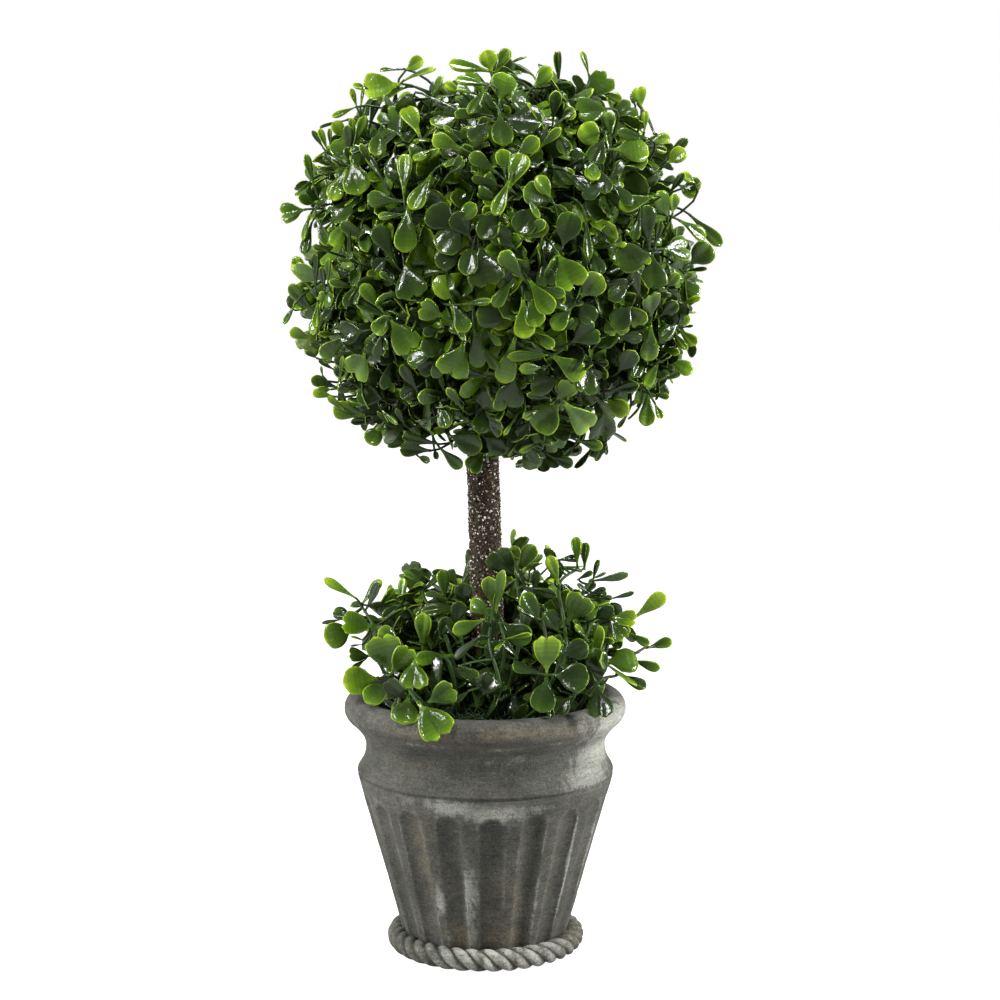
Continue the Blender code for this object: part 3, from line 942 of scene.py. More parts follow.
def leafPattern(lanes, stations):
    # a top grid and a back grid; the outer points of the back grid are the rim
    lanes, stations = np.array(lanes), np.array(stations)
    rows, columns = len(stations), len(lanes)
    count = rows * columns
    s, u = [part.ravel() for part in np.meshgrid(stations, lanes, indexing="ij")]
    border = (np.abs(u) == 1) | (s == 0) | (s == 1)
    index = np.arange(count).reshape(rows, columns)
    ring = np.concatenate([index[0, :-1], index[:-1, -1], index[-1, :0:-1], index[:0:-1, 0]])
    following = np.roll(ring, -1)
    rim = np.stack([ring, ring + count, following + count, following], axis=-1)
    top = gridQuads(rows, columns)
    quads = np.concatenate([top, top[:, ::-1] + count, rim])
    both = {
        "u": np.tile(u, 2), "s": np.tile(s, 2),
        "back": np.repeat([0.0, 1.0], count), "border": np.tile(border, 2).astype(float),
        "quads": quads,
    }
    both["quadU"] = np.abs(both["u"])[quads].mean(axis=1)
    both["quadS"] = both["s"][quads].mean(axis=1)
    both["side"] = np.repeat([0, 1, 2], [len(top), len(top), len(rim)])
    return both


leafPatterns = {
    "fine": leafPattern(
        (-1, -0.84, -0.56, -0.22, 0, 0.22, 0.56, 0.84, 1),
        (0.0, 0.12, 0.24, 0.35, 0.46, 0.58, 0.70, 0.80, 0.88, 0.94, 0.98, 1.0),
    ),
    "full": leafPattern((-1, -0.7, -0.3, 0, 0.3, 0.7, 1), (0.0, 0.20, 0.40, 0.60, 0.78, 0.92, 1.0)),
    "slim": leafPattern((-1, -0.5, 0, 0.5, 1), (0.0, 0.22, 0.44, 0.66, 0.83, 0.94, 1.0)),
    "plain": leafPattern((-1, 0, 1), (0.0, 0.3, 0.62, 0.88, 1.0)),
}


def blendStops(stops, share):
    places = [place for place, _ in stops]
    shades = np.log([shade for _, shade in stops])
    return tuple(math.exp(np.interp(share, places, shades[:, k])) for k in range(3)) + (1.0,)


def leafMaterials():
    # the greens from deep to lime, then those of the backs
    made = []
    for name, stops, count, gloss in (
        ("leafGreen", leaf["greenStops"], leaf["greens"], leaf["frontGloss"]),
        ("leafBack", leaf["backStops"], leaf["backs"], leaf["backGloss"]),
    ):
        for k in range(count):
            look = blendStops(stops, k / (count - 1)), leaf["waveScale"], gloss, leaf["bump"]
            made.append(plasticMaterial(f"{name}{k + 1:02d}", *look, Specular_IOR_Level=leaf["specular"]))
    return made


def smoothWidths(shape, s):
    # the half width at each share of the length, run smoothly through the widths of the shape
    stations, widths = np.array(leaf["stations"]), np.array(shape["widths"])
    slopes = np.gradient(widths, stations)
    k = np.clip(np.searchsorted(stations, s, side="right") - 1, 0, len(stations) - 2)
    gap = stations[k + 1] - stations[k]
    t = (s - stations[k]) / gap
    ends = widths[k] * (1 + 2 * t) * (1 - t) ** 2 + widths[k + 1] * (3 - 2 * t) * t ** 2
    return ends + gap * (slopes[k] * t * (1 - t) ** 2 - slopes[k + 1] * (1 - t) * t ** 2)


def leafPoints(shape, pattern, habit):
    # x across, y along and z out of the blade, bent and twisted
    u, s, back, border = pattern["u"], pattern["s"], pattern["back"], pattern["border"]
    long = shape["long"] * habit["size"]
    wide = shape["wide"] * habit["size"] * habit.get("wide", 1.0)
    width = smoothWidths(shape, s)
    inset = leaf["rim"] * border * (1 - back)
    x = u * (wide / 2 * width - inset * (np.abs(u) == 1) * np.minimum(1, width * 2))
    dip = np.clip((s - leaf["dipFrom"][0]) / leaf["dipFrom"][1], 0, 1) ** 2
    nearGroove = np.clip(1 - np.abs(u) / leaf["grooveHalf"], 0, 1)
    notch = shape["notch"] * nearGroove ** 1.25
    y = long * (s - dip * (shape["tipDrop"] * u ** 2 + notch)) - inset * (s == 1)
    blade = np.clip((s - leaf["bladeFrom"][0]) / leaf["bladeFrom"][1], 0, 1)
    z = wide * width * (0.5 * habit["fold"] * np.abs(u) * blade - 0.16 * habit["curl"] * np.abs(u) ** 2.2)
    z = z - shape["groove"] * blade * nearGroove
    z = z - leaf["thickness"] * back * np.where(border > 0, leaf["rimThin"], 1.0)
    z = z - leaf["rimDrop"] * border * (1 - back)
    twist = habit["twist"] * s
    x, z = x * np.cos(twist) + z * np.sin(twist), z * np.cos(twist) - x * np.sin(twist)
    bend = habit["bend"] if abs(habit["bend"]) > leaf["leastBend"] else leaf["leastBend"]
    turn = bend * y / long
    y, z = long / bend * np.sin(turn) + z * np.sin(turn), z * np.cos(turn) - long / bend * (1 - np.cos(turn))
    return np.stack([x, y, z], axis=-1)


def leafFinish(pattern, tone, fade):
    # the green of each face: paler at the tip, the edges and the stalk, palest on the rim; the pale tips and
    # rim are the leaves' own lime colour and also a painted glow of light through the thin plastic
    tipFrom, tipRun, tipPower, tipPale = leaf["paleTip"]
    (stalkEnd, stalkPale), (edgePower, edgePale) = leaf["paleStalk"], leaf["paleEdge"]
    quadS, quadU, side = pattern["quadS"], pattern["quadU"], pattern["side"]
    tip = np.clip((quadS - tipFrom) / tipRun, 0, 1) ** tipPower
    stalk = stalkPale * np.clip((stalkEnd - quadS) / stalkEnd, 0, 1)
    edge = np.maximum(quadU, 2 * quadS - 1) ** edgePower
    lighter = np.maximum(tipPale * tip + edgePale * edge * (0.5 + 0.5 * tip), stalk)
    rim = leaf["rimPale"][0] + leaf["rimPale"][1] * fade
    greens, backs = leaf["greens"] - 1, leaf["backs"] - 1
    level = tone + fade * lighter + np.where(side == 2, rim, 0.0)
    backLevel = np.clip(round(backs * tone * leaf["backTone"]), 0, backs)
    return np.where(side == 1, leaf["greens"] + backLevel, np.clip(np.round(greens * level), 0, greens))


def shapeLeaf(kind, base, along, upward, habit):
    # habit: size, bend, curl, fold, twist, tone (0 deep to 1 lime), fade and pattern
    pattern = leafPatterns[habit["pattern"]]
    axes = np.array([along.cross(upward), along, upward])
    points = leafPoints(leafKinds[kind], pattern, habit) @ axes + np.array(base)
    return points, pattern["quads"], leafFinish(pattern, habit["tone"], habit["fade"])


# Twigs: stems of the sprigs, and the net and boughs inside the ball

twig = {
    "greens": {
        "twigDeep": (0.024, 0.035, 0.009, 1.0),
        "twigMid": (0.028, 0.066, 0.010, 1.0),
        "twigFresh": (0.070, 0.145, 0.016, 1.0),
    },
    "tones": (0.33, 0.62),  # from which tone of its leaves a twig takes the second and third green
    "specular": 0.3,
    "look": (600.0, (0.38, 0.55), (0.4, 0.3 * mm)),
}
leafSet = leafMaterials()
twigSet = [
    plasticMaterial(name, colour, *twig["look"], Specular_IOR_Level=twig["specular"])
    for name, colour in twig["greens"].items()
]


placedHabit = {
    "facing": Vector((0, -1, 0.3)),
    "bend": (0.10, 0.50),
    "curl": (0.0, 0.8),
    "twist": 0.12,
    "fold": (0.02, 0.34),
    "tone": (1.38, -0.27),
    "fade": (0.30, 0.44),
    "limeFade": 0.34,
}


def squareTo(direction, along):
    # the part of the direction that is square to along
    return (direction - along * direction.dot(along)).normalized()


def placeLeaf(rng, leaves, kind, row, outward, lift=0.0):
    # one leaf between the two ends in its row, facing the front and partly outward
    foot, tip = Vector(row[:3]) * mm, Vector(row[3:6]) * mm
    wide, roll, tone = row[6:]
    along = (tip - foot).normalized()
    upward = squareTo(placedHabit["facing"] + outward, along)
    upward.rotate(Matrix.Rotation(math.radians(roll), 3, along))
    gain, offset = placedHabit["tone"]
    habit = {
        "size": (tip - foot).length / leafKinds[kind]["long"],
        "wide": wide,
        "bend": rng.uniform(*placedHabit["bend"]),
        "curl": rng.uniform(*placedHabit["curl"]),
        "twist": rng.gauss(0, placedHabit["twist"]),
        "fold": rng.uniform(*placedHabit["fold"]),
        "tone": max(0.0, gain * tone + offset + lift),
        "fade": rng.uniform(*placedHabit["fade"]) + placedHabit["limeFade"] * tone,
        "pattern": "fine",
    }
    addShape(leaves, *shapeLeaf(kind, foot, along, upward, habit))
    return foot, along


def sideAxes(tangent, rng):
    side = tangent.orthogonal().normalized()
    side.rotate(Matrix.Rotation(rng.uniform(0, 2 * math.pi), 3, tangent))
    return side, tangent.cross(side)


def tangentAt(path, k):
    return (path[min(k + 1, len(path) - 1)] - path[max(k - 1, 0)]).normalized()


sprig = {
    "tries": 4,
    "closing": 0.7,  # how far a leaf that did not fit is closed up, and turned up
    "raising": 0.6,
    "leastDroop": 0.6,
    "flattest": 0.15,
    "opening": 0.16,
    "roll": 0.32,
    "leafSize": (0.86, 1.12),
    "bend": (0.28, 0.30),
    "curl": (-0.25, 0.9),
    "fold": (-0.05, 0.30),
    "twist": 0.16,
    "fade": (0.14, 0.46),
    "mixed": 0.05,  # how much the tones of its leaves differ
    "youngNarrow": 2.2,
    "taper": 0.6,
    "firstJoint": 0.15,
    "lowFade": 0.05,
    "lowSize": (0.86, 0.14),
    "bothSides": 0.6,
    "sideTangent": 0.72,
    "sideAside": 0.70,
    "sideJitter": 0.15,
    "sideReach": (0.7, 1.15),
    "sideBow": (0.6, 0.2),
    "sideThin": 0.75,
    "sideSmall": 0.92,
    "sideTone": (0.02, 0.05),
    "tipTone": (0.04, 0.20),
    "tipCounts": (2, 3, 3, 4),
    "tipOpening": (0.5, 1.1),
    "tipSize": (0.78, 1.0),
}


def pickKind(rng, young):
    names = list(leafKinds)
    shares = [leafKinds[name]["share"] for name in names]
    if young:
        shares[names.index("narrow")] *= sprig["youngNarrow"]
    return rng.choices(names, shares)[0]


def tryLeaf(rng, grow, base, tangent, out, opening, size, tone, young=False):
    # sets one leaf; where it would cut into the pot or trunk it is turned and tried again
    for _ in range(sprig["tries"]):
        angle = opening + rng.gauss(0, sprig["opening"])
        along = tangent * math.cos(angle) + out * math.sin(angle)
        along = (along - up * grow["droop"] * (sprig["leastDroop"] + rng.random())).normalized()
        upward = tangent - along * tangent.dot(along)
        if upward.length < sprig["flattest"]:
            upward = up - along * up.dot(along)
        upward = (upward.normalized() + grow["outward"](base) * grow["facing"]).normalized()
        upward = squareTo(upward, along)
        upward.rotate(Matrix.Rotation(rng.gauss(0, sprig["roll"]), 3, along))
        habit = {
            "size": size * rng.uniform(*sprig["leafSize"]),
            "bend": rng.gauss(*sprig["bend"]),
            "curl": rng.uniform(*sprig["curl"]),
            "fold": rng.uniform(*sprig["fold"]),
            "twist": rng.gauss(0, sprig["twist"]),
            "tone": min(1.0, max(0.0, tone + rng.gauss(0, grow.get("mixed", sprig["mixed"])))),
            "fade": rng.uniform(*sprig["fade"]) * grow.get("fading", 1.0),
        }
        kind = pickKind(rng, young)
        habit["pattern"] = grow.get("pattern") or ("full" if kind == "heart" else "slim")
        points, quads, finish = shapeLeaf(kind, base, along, upward, habit)
        if "clear" not in grow or grow["clear"](points):
            addShape(grow["leaves"], points, quads, finish)
            return
        opening = opening * sprig["closing"]
        out = (out + up * sprig["raising"]).normalized()


def growSide(rng, grow, point, tangent, aside, radius, size, tone):
    # a side twig from a joint, with leaves of its own
    heading = tangent * sprig["sideTangent"] + aside * sprig["sideAside"] + jitter(rng, sprig["sideJitter"])
    heading.normalize()
    reach = grow["sideLength"] * rng.uniform(*sprig["sideReach"])
    bow, pull = sprig["sideBow"]
    end = point + heading * reach + tangent * reach * pull
    branch = curvePoints(point, point + heading * reach * bow, end, 5)
    sideTone = tone + rng.gauss(*sprig["sideTone"])
    growSprig(rng, grow, branch, radius * sprig["sideThin"], size * sprig["sideSmall"], sideTone, 1)


def growSprig(rng, grow, path, radius, size, tone, level=0):
    # one stem with pairs of leaves set crosswise, side twigs from their joints and a tuft at the tip
    last, bare = len(path) - 1, grow["bare"][level]
    green = sum(tone >= least for least in twig["tones"])
    addTube(grow["twigs"], path, [radius, radius * sprig["taper"]], green)
    side, other = sideAxes(tangentAt(path, last // 2), rng)
    length = sum((b - a).length for a, b in zip(path, path[1:]))
    joints = max(1, round(length * (1 - bare) / grow["spacing"]))
    lowSize, sizeGain = sprig["lowSize"]
    for n in range(joints):
        share = bare + (1 - bare) * (n + sprig["firstJoint"]) / joints
        k = min(last - 1, int(share * last))
        point = path[k].lerp(path[k + 1], share * last - k)
        tangent = (path[k + 1] - path[k]).normalized()
        turn = n * math.pi / 2
        out = (side * math.cos(turn) + other * math.sin(turn)).normalized()
        lowTone = tone - sprig["lowFade"] * (1 - share)
        for sign in (1, -1):
            leafSize = size * (lowSize + sizeGain * share)
            tryLeaf(rng, grow, point, tangent, out * sign, grow["opening"], leafSize, lowTone)
        if level == 0 and rng.random() < grow["sideShare"]:
            signs = (1, -1) if rng.random() < sprig["bothSides"] else (rng.choice((1, -1)),)
            for sign in signs:
                growSide(rng, grow, point, tangent, out.cross(tangent) * sign, radius, size, tone)
    tangent = tangentAt(path, last)
    tipTone = tone + rng.uniform(*sprig["tipTone"])
    count = rng.choice(sprig["tipCounts"])
    start = rng.uniform(0, 2 * math.pi)
    for n in range(count):
        turn = start + 2 * math.pi * n / count
        out = side * math.cos(turn) + other * math.sin(turn)
        opening, tipSize = rng.uniform(*sprig["tipOpening"]), size * rng.uniform(*sprig["tipSize"])
        tryLeaf(rng, grow, path[-1], tangent, out, opening, tipSize, tipTone, True)


# Crown: sprigs standing on a net ball round the trunk's top

crown = {
    "centre": Vector((5.4, 0.0, 291.0)) * mm,
    "netRadius": 57 * mm,
    "netBar": 0.55 * mm,
    "netSpacing": 8.2 * mm,
    "outline": 88.0 * mm,
    "frontDrop": 9.5 * mm,  # how much lower the sprigs are under the placed leaves
    "boxiness": 2.25,
    "overhang": 13.5 * mm,
    "sprigs": 162,
    "bareFoot": math.radians(16),  # no sprigs this close round the trunk
    "leafSize": 1.10,
    "seed": 11,
    "hubs": 12,
    "innerLeaves": 1200,
    "innerJitter": 0.05,
    "innerReach": (0.98, 1.20),
    "innerOpening": (0.7, 1.4),
    "innerSize": 0.95,
    # inner leaves are lighter than the outer ones: painted fill light in the dark inside of the ball
    "innerTone": (0.46, 0.68),
    "frontFrom": 0.35,
    "netSteps": 41,
    "jitter": 0.07,
    "headingJitter": 0.15,
    "sideBand": 0.34,  # headings this close to the sides are thinned out
    "sideThinned": 0.26,
    "reach": (0.93, 1.04),
    "limit": (1.0, 1.07),
    "twig": 0.75 * mm,
    "frontShade": 0.12,
    "roughness": (0.035, 0.45, 7.0),
    "trunkGap": 0.8 * mm,
    "tones": ((0.55, 0.12, 0.26), (0.88, 0.26, 0.40), (1.01, 0.40, 0.54)),  # deep, fresh and lime sprigs
    "outlineGlowAround": (5, 291),  # placed leaves are painted lighter away from here, in mm: a painted glow of backlight towards the ball's outline
    "outlineGlow": (55, 0.0045, 0.11),
    "placedTwig": (0.6 * mm, 0.45 * mm),
    "hubJitter": 0.08,
    "hubReach": 0.55,  # as a share of the net's radius
    "boughRoots": (4, 30),  # how far under the trunk's tip they leave it, in mm
    "bough": (1.3 * mm, 1.0 * mm),
    "fork": (0.8 * mm, 0.6 * mm),
}


# Leaves over the front of the ball by kind: foot and tip in mm, width factor, roll in degrees, tone
crownFront = {
    "spoon": (
        (-31, -23, 363, -44, -26, 360, 1.17, 10, 0.5), (-32, -18, 370, -42, -21, 371, 0.77, 40, 0.28),
        (-33, -24, 365, -21, -27, 373, 0.88, -30, 0.55), (-47, -15, 347, -44, -17, 358, 0.79, 20, 0.12),
        (-25, -53, 343, -31, -45, 357, 1.02, 10, 0.56), (-29, -37, 353, -38, -39, 355, 0.59, 15, 0.5),
        (-31, -18, 360, -37, -30, 357, 0.36, 0, 0.15), (-53, -27, 338, -48, -31, 351, 0.72, 20, 0.45),
        (-54, -27, 335, -55, -33, 347, 0.84, 0, 0.22), (-63, -24, 337, -66, -27, 346, 0.67, 20, 0.55),
        (-31, -66, 320, -31, -63, 337, 0.84, 0, 0.52), (-39, -55, 325, -46, -48, 338, 0.54, 20, 0.2),
        (-54, -41, 331, -61, -47, 319, 1.16, 0, 0.5), (3, -22, 369, -14, -25, 373, 0.94, 0, 0.45),
        (4, -21, 368, 9, -24, 378, 1.16, 0, 0.42), (2, -35, 363, -11, -37, 367, 0.94, 10, 0.46),
        (18, -31, 362, 9, -32, 369, 0.8, 20, 0.25), (1, -50, 362, -6, -58, 353, 0.74, 0, 0.42),
        (5, -51, 350, 1, -60, 359, 0.78, 0, 0.18), (2, -52, 351, -11, -57, 352, 0.73, -25, 0.35),
        (24, -57, 345, 18, -54, 357, 0.68, 50, 0.58), (27, -48, 349, 28, -56, 360, 0.89, 0, 0.24),
        (-8, -64, 338, -20, -64, 343, 1.2, 0, 0.54), (11, -67, 334, 20, -74, 342, 1.09, 0, 0.45),
        (21, -63, 338, 28, -72, 345, 0.64, 20, 0.46), (5, -70, 329, -5, -71, 337, 1.14, 0, 0.4),
        (9, -74, 322, 15, -73, 337, 1.2, 0, 0.56), (6, -70, 324, -4, -75, 327, 0.73, -20, 0.12),
        (46, -22, 361, 55, -25, 358, 0.95, 10, 0.46), (50, -42, 341, 49, -37, 354, 1.03, 0, 0.36),
        (66, -37, 342, 53, -44, 345, 0.79, 0, 0.25), (64, -25, 344, 65, -28, 353, 0.76, 0, 0.6),
        (73, -17, 334, 82, -20, 342, 0.78, 20, 0.25), (-70, -22, 313, -75, -28, 303, 0.61, 20, 0.45),
        (-70, -22, 309, -74, -28, 297, 0.85, 0, 0.22), (-67, -44, 312, -62, -51, 301, 0.75, 0, 0.32),
        (-53, -50, 312, -61, -53, 301, 1.12, 0, 0.5), (-35, -67, 295, -42, -67, 309, 1.2, 0, 0.18),
        (-53, -51, 308, -53, -61, 298, 0.36, 0, 0.2), (-32, -64, 318, -47, -61, 319, 1.03, -20, 0.34),
        (-31, -67, 313, -41, -69, 313, 0.79, 0, 0.48), (-29, -68, 317, -31, -77, 300, 1.07, 0, 0.44),
        (-20, -68, 329, -28, -75, 316, 0.98, 0, 0.48), (-34, -69, 286, -40, -72, 291, 0.72, 0, 0.42),
        (-39, -65, 275, -48, -67, 286, 0.94, 0, 0.47), (-37, -64, 273, -50, -63, 280, 0.8, 20, 0.3),
        (-70, -25, 281, -78, -24, 295, 0.8, 0, 0.42), (-69, -18, 271, -80, -21, 283, 0.84, 0, 0.3),
        (-67, -32, 278, -69, -35, 267, 0.76, 0, 0.52), (-64, -36, 281, -65, -46, 291, 0.49, 0, 0.2),
        (-50, -57, 284, -59, -65, 287, 0.61, 0, 0.36), (10, -76, 327, 4, -83, 314, 0.8, 0, 0.52),
        (15, -78, 304, 23, -81, 311, 0.96, 0, 0.4), (16, -79, 288, 7, -85, 299, 1.04, 0, 0.4),
        (17, -79, 289, 26, -82, 276, 1.13, 0, 0.5), (11, -79, 288, 4, -84, 279, 1, 0, 0.36),
        (20, -78, 286, 31, -81, 283, 0.92, 0, 0.36), (15, -79, 282, 16, -82, 266, 1.18, 0, 0.56),
        (-12, -76, 280, -7, -82, 269, 1.15, 0, 0.38), (35, -73, 280, 27, -80, 270, 1.07, 0, 0.4),
        (67, -59, 320, 53, -66, 317, 0.97, 0, 0.46), (74, -26, 320, 79, -36, 327, 0.62, 0, 0.25),
        (61, -56, 315, 59, -64, 304, 0.74, 0, 0.3), (65, -50, 299, 64, -55, 316, 1.09, 0, 0.22),
        (78, -27, 310, 91, -25, 303, 0.98, 0, 0.44), (83, -17, 312, 97, -20, 300, 0.74, 0, 0.25),
        (79, -30, 276, 85, -42, 279, 0.5, 0, 0.6), (61, -57, 279, 59, -65, 291, 0.83, 0, 0.2),
        (50, -67, 301, 54, -72, 302, 0.88, 0, 0.7), (39, -69, 313, 41, -77, 297, 0.54, 0, 0.3),
        (-70, -23, 261, -79, -26, 265, 1.1, 0, 0.52), (-68, -16, 263, -65, -26, 253, 0.85, 0, 0.22),
        (-58, -41, 265, -64, -53, 266, 0.41, 0, 0.5), (-68, -19, 253, -73, -22, 256, 0.81, 0, 0.32),
        (-60, -18, 241, -71, -21, 245, 0.97, 0, 0.28), (-61, -24, 238, -70, -27, 240, 0.95, 0, 0.55),
        (-57, -23, 232, -64, -26, 238, 0.76, 0, 0.5), (-48, -21, 230, -62, -24, 233, 1.27, 0, 0.42),
        (-18, -20, 218, -33, -27, 221, 0.62, 0, 0.22), (-22, -17, 215, -35, -20, 216, 1.17, 0, 0.25),
        (-26, -57, 243, -32, -65, 253, 0.79, 0, 0.2), (2, -66, 250, -13, -73, 253, 0.78, 0, 0.2),
        (-4, -76, 271, -2, -75, 253, 0.85, 0, 0.3), (0, -76, 270, 6, -81, 264, 0.7, 0, 0.36),
        (-1, -73, 263, 5, -76, 254, 0.87, 0, 0.3), (12, -76, 266, 7, -74, 247, 0.95, 0, 0.48),
        (19, -75, 268, 27, -78, 263, 1.16, 0, 0.42), (26, -70, 259, 40, -67, 250, 1.23, 0, 0.52),
        (-8, -61, 236, -14, -69, 245, 0.62, 0, 0.36), (-18, -56, 241, -15, -63, 230, 1.09, 0, 0.3),
        (-19, -20, 217, -10, -23, 208, 0.97, 0, 0.36), (24, -35, 222, 16, -45, 218, 0.61, 0, 0.5),
        (26, -16, 213, 36, -19, 209, 1.06, 0, 0.22), (31, -55, 239, 45, -44, 225, 1.11, 0, 0.46),
        (50, -18, 220, 46, -21, 211, 0.67, 0, 0.3), (49, -42, 242, 61, -49, 245, 0.8, 0, 0.2),
        (67, -21, 240, 66, -24, 226, 1.17, 0, 0.4), (69, -26, 236, 72, -29, 230, 1.01, 0, 0.62),
        (68, -22, 239, 75, -25, 238, 0.82, 0, 0.46), (66, -48, 270, 66, -48, 254, 1.1, 0, 0.42),
        (70, -33, 259, 77, -44, 258, 0.55, 0, 0.4), (73, -23, 254, 85, -26, 249, 1.13, 0, 0.5),
        (71, -19, 244, 80, -22, 248, 0.95, 0, 0.35), (71, -33, 255, 65, -40, 244, 0.87, 0, 0.44),
        (78, -24, 266, 86, -27, 260, 1.1, 0, 0.55), (75, -29, 266, 81, -40, 260, 0.66, 0, 0.42),
        (80, -21, 266, 84, -25, 267, 0.52, 0, 0.4), (50, -59, 266, 63, -55, 264, 0.86, 0, 0.16),
        (42, -59, 255, 48, -63, 255, 0.97, 0, 0.2), (43, -47, 241, 54, -39, 231, 0.8, 0, 0.22),
        (37, -21, 220, 48, -24, 217, 0.97, 0, 0.42),
    ),
    "round": (
        (-32, -25, 369, -25, -28, 374, 0.85, 15, 0.6), (-47, -24, 362, -52, -27, 364, 0.78, 10, 0.56),
        (-41, -48, 346, -42, -55, 336, 0.78, -10, 0.4), (-53, -23, 344, -54, -26, 350, 0.63, 0, 0.5),
        (-55, -31, 332, -60, -24, 344, 0.85, 0, 0.36), (-56, -25, 342, -60, -28, 349, 0.85, 10, 0.58),
        (-59, -24, 329, -66, -33, 330, 0.57, 10, 0.25), (-52, -52, 334, -49, -59, 321, 0.98, 0, 0.42),
        (-35, -57, 338, -36, -63, 327, 0.79, 0, 0.14), (-20, -59, 338, -27, -66, 336, 0.76, 30, 0.52),
        (3, -27, 368, 1, -30, 377, 1.05, 0, 0.66), (6, -46, 356, 9, -39, 369, 0.94, 0, 0.42),
        (-4, -39, 360, -10, -46, 362, 0.51, 0, 0.5), (-9, -38, 360, -15, -42, 364, 0.73, 0, 0.6),
        (-21, -33, 358, -18, -42, 366, 0.53, 0, 0.4), (7, -51, 350, 22, -59, 349, 1.03, 0, 0.2),
        (19, -35, 362, 25, -41, 370, 0.81, 0, 0.5), (6, -63, 352, 8, -70, 340, 0.85, -10, 0.32),
        (2, -58, 349, -5, -66, 342, 0.79, 0, 0.16), (-11, -59, 343, -15, -62, 347, 0.48, 0, 0.56),
        (8, -71, 329, 7, -73, 338, 0.84, 0, 0.55), (-21, -62, 334, -18, -68, 338, 0.42, 0, 0.5),
        (30, -49, 349, 35, -50, 354, 0.79, 0, 0.45), (29, -58, 345, 32, -66, 337, 0.68, 0, 0.3),
        (61, -16, 355, 60, -19, 360, 0.62, 0, 0.22), (45, -52, 338, 39, -55, 348, 1.06, 0, 0.55),
        (50, -47, 338, 66, -40, 338, 0.78, 0, 0.44), (66, -25, 341, 74, -28, 343, 0.84, 0, 0.6),
        (67, -23, 339, 73, -26, 338, 0.8, 0, 0.5), (73, -26, 332, 80, -29, 338, 0.9, 0, 0.62),
        (85, -26, 324, 80, -29, 329, 0.74, 0, 0.62), (79, -21, 322, 87, -24, 325, 0.95, 0, 0.4),
        (43, -57, 334, 42, -68, 328, 0.7, 0, 0.52), (45, -59, 331, 47, -67, 322, 0.83, 0, 0.24),
        (-68, -20, 316, -75, -23, 319, 0.78, 0, 0.36), (-63, -41, 298, -68, -43, 300, 0.64, 0, 0.45),
        (-48, -58, 308, -46, -68, 300, 0.53, 0, 0.35), (-37, -65, 297, -43, -68, 292, 0.92, 0, 0.16),
        (-37, -65, 274, -43, -67, 267, 0.98, 0, 0.5), (-60, -40, 276, -65, -41, 271, 0.89, 0, 0.15),
        (7, -75, 316, -1, -82, 305, 0.8, 0, 0.12), (-11, -75, 307, -21, -76, 316, 1.15, 0, 0.2),
        (-11, -75, 310, -4, -81, 317, 0.76, 0, 0.44), (-5, -76, 304, -11, -79, 314, 0.97, 0, 0.17),
        (-8, -75, 310, -17, -81, 300, 1.04, 0, 0.28), (-8, -76, 300, -18, -81, 295, 0.92, 0, 0.18),
        (-4, -78, 302, -7, -84, 291, 0.8, 0, 0.26), (12, -77, 300, 4, -82, 308, 0.91, 0, 0.18),
        (20, -76, 317, 13, -82, 307, 0.98, 0, 0.1), (26, -72, 318, 16, -78, 323, 1.03, 0, 0.34),
        (26, -73, 319, 21, -76, 328, 0.84, 0, 0.56), (30, -73, 300, 34, -76, 314, 0.9, 0, 0.26),
        (37, -73, 281, 45, -77, 290, 1.05, 0, 0.5), (17, -78, 281, 21, -82, 271, 0.95, 0, 0.46),
        (11, -75, 273, -2, -82, 276, 0.9, 0, 0.14), (73, -40, 311, 70, -47, 321, 0.84, 0, 0.42),
        (75, -35, 312, 76, -40, 320, 0.68, 0, 0.6), (78, -21, 324, 86, -24, 321, 1.04, 0, 0.42),
        (83, -19, 291, 92, -22, 299, 1.12, 0, 0.34), (66, -63, 298, 52, -71, 296, 0.97, 0, 0.26),
        (72, -44, 283, 77, -47, 289, 0.75, 0, 0.5), (70, -40, 272, 77, -43, 277, 0.85, 0, 0.25),
        (58, -61, 278, 51, -68, 270, 0.97, 0, 0.22), (57, -64, 286, 49, -71, 281, 0.79, 0, 0.16),
        (42, -69, 299, 45, -75, 291, 0.83, 0, 0.26), (36, -71, 280, 43, -73, 272, 0.99, 0, 0.2),
        (76, -31, 268, 83, -32, 271, 0.79, 0, 0.52), (-39, -60, 268, -43, -63, 263, 0.79, 0, 0.15),
        (-17, -72, 269, -23, -76, 268, 0.82, 0, 0.2), (-62, -23, 241, -68, -26, 241, 0.61, 0, 0.5),
        (-50, -20, 236, -57, -23, 234, 0.82, 0, 0.38), (-40, -35, 238, -52, -36, 241, 1, 0, 0.22),
        (-42, -21, 226, -48, -24, 219, 1.09, 0, 0.4), (-40, -24, 225, -44, -27, 225, 0.46, 0, 0.55),
        (-39, -16, 226, -38, -19, 219, 0.77, 0, 0.2), (-28, -18, 213, -23, -21, 211, 0.7, 0, 0.3),
        (-21, -16, 216, -20, -19, 212, 0.65, 0, 0.2), (-26, -54, 245, -33, -56, 241, 0.97, 0, 0.18),
        (-17, -66, 257, -26, -67, 252, 0.99, 0, 0.15), (12, -66, 250, 9, -65, 237, 1.14, 0, 0.26),
        (6, -64, 244, 6, -65, 236, 0.89, 0, 0.4), (30, -55, 239, 20, -56, 228, 1.15, 0, 0.4),
        (22, -55, 236, 16, -64, 234, 0.49, 0, 0.46), (18, -48, 231, 14, -50, 224, 0.98, 0, 0.14),
        (23, -69, 254, 15, -77, 254, 0.53, 0, 0.48), (30, -64, 249, 19, -70, 246, 0.89, 0, 0.18),
        (-15, -37, 224, -2, -44, 219, 0.8, 0, 0.25), (0, -55, 237, -2, -63, 228, 0.77, 0, 0.13),
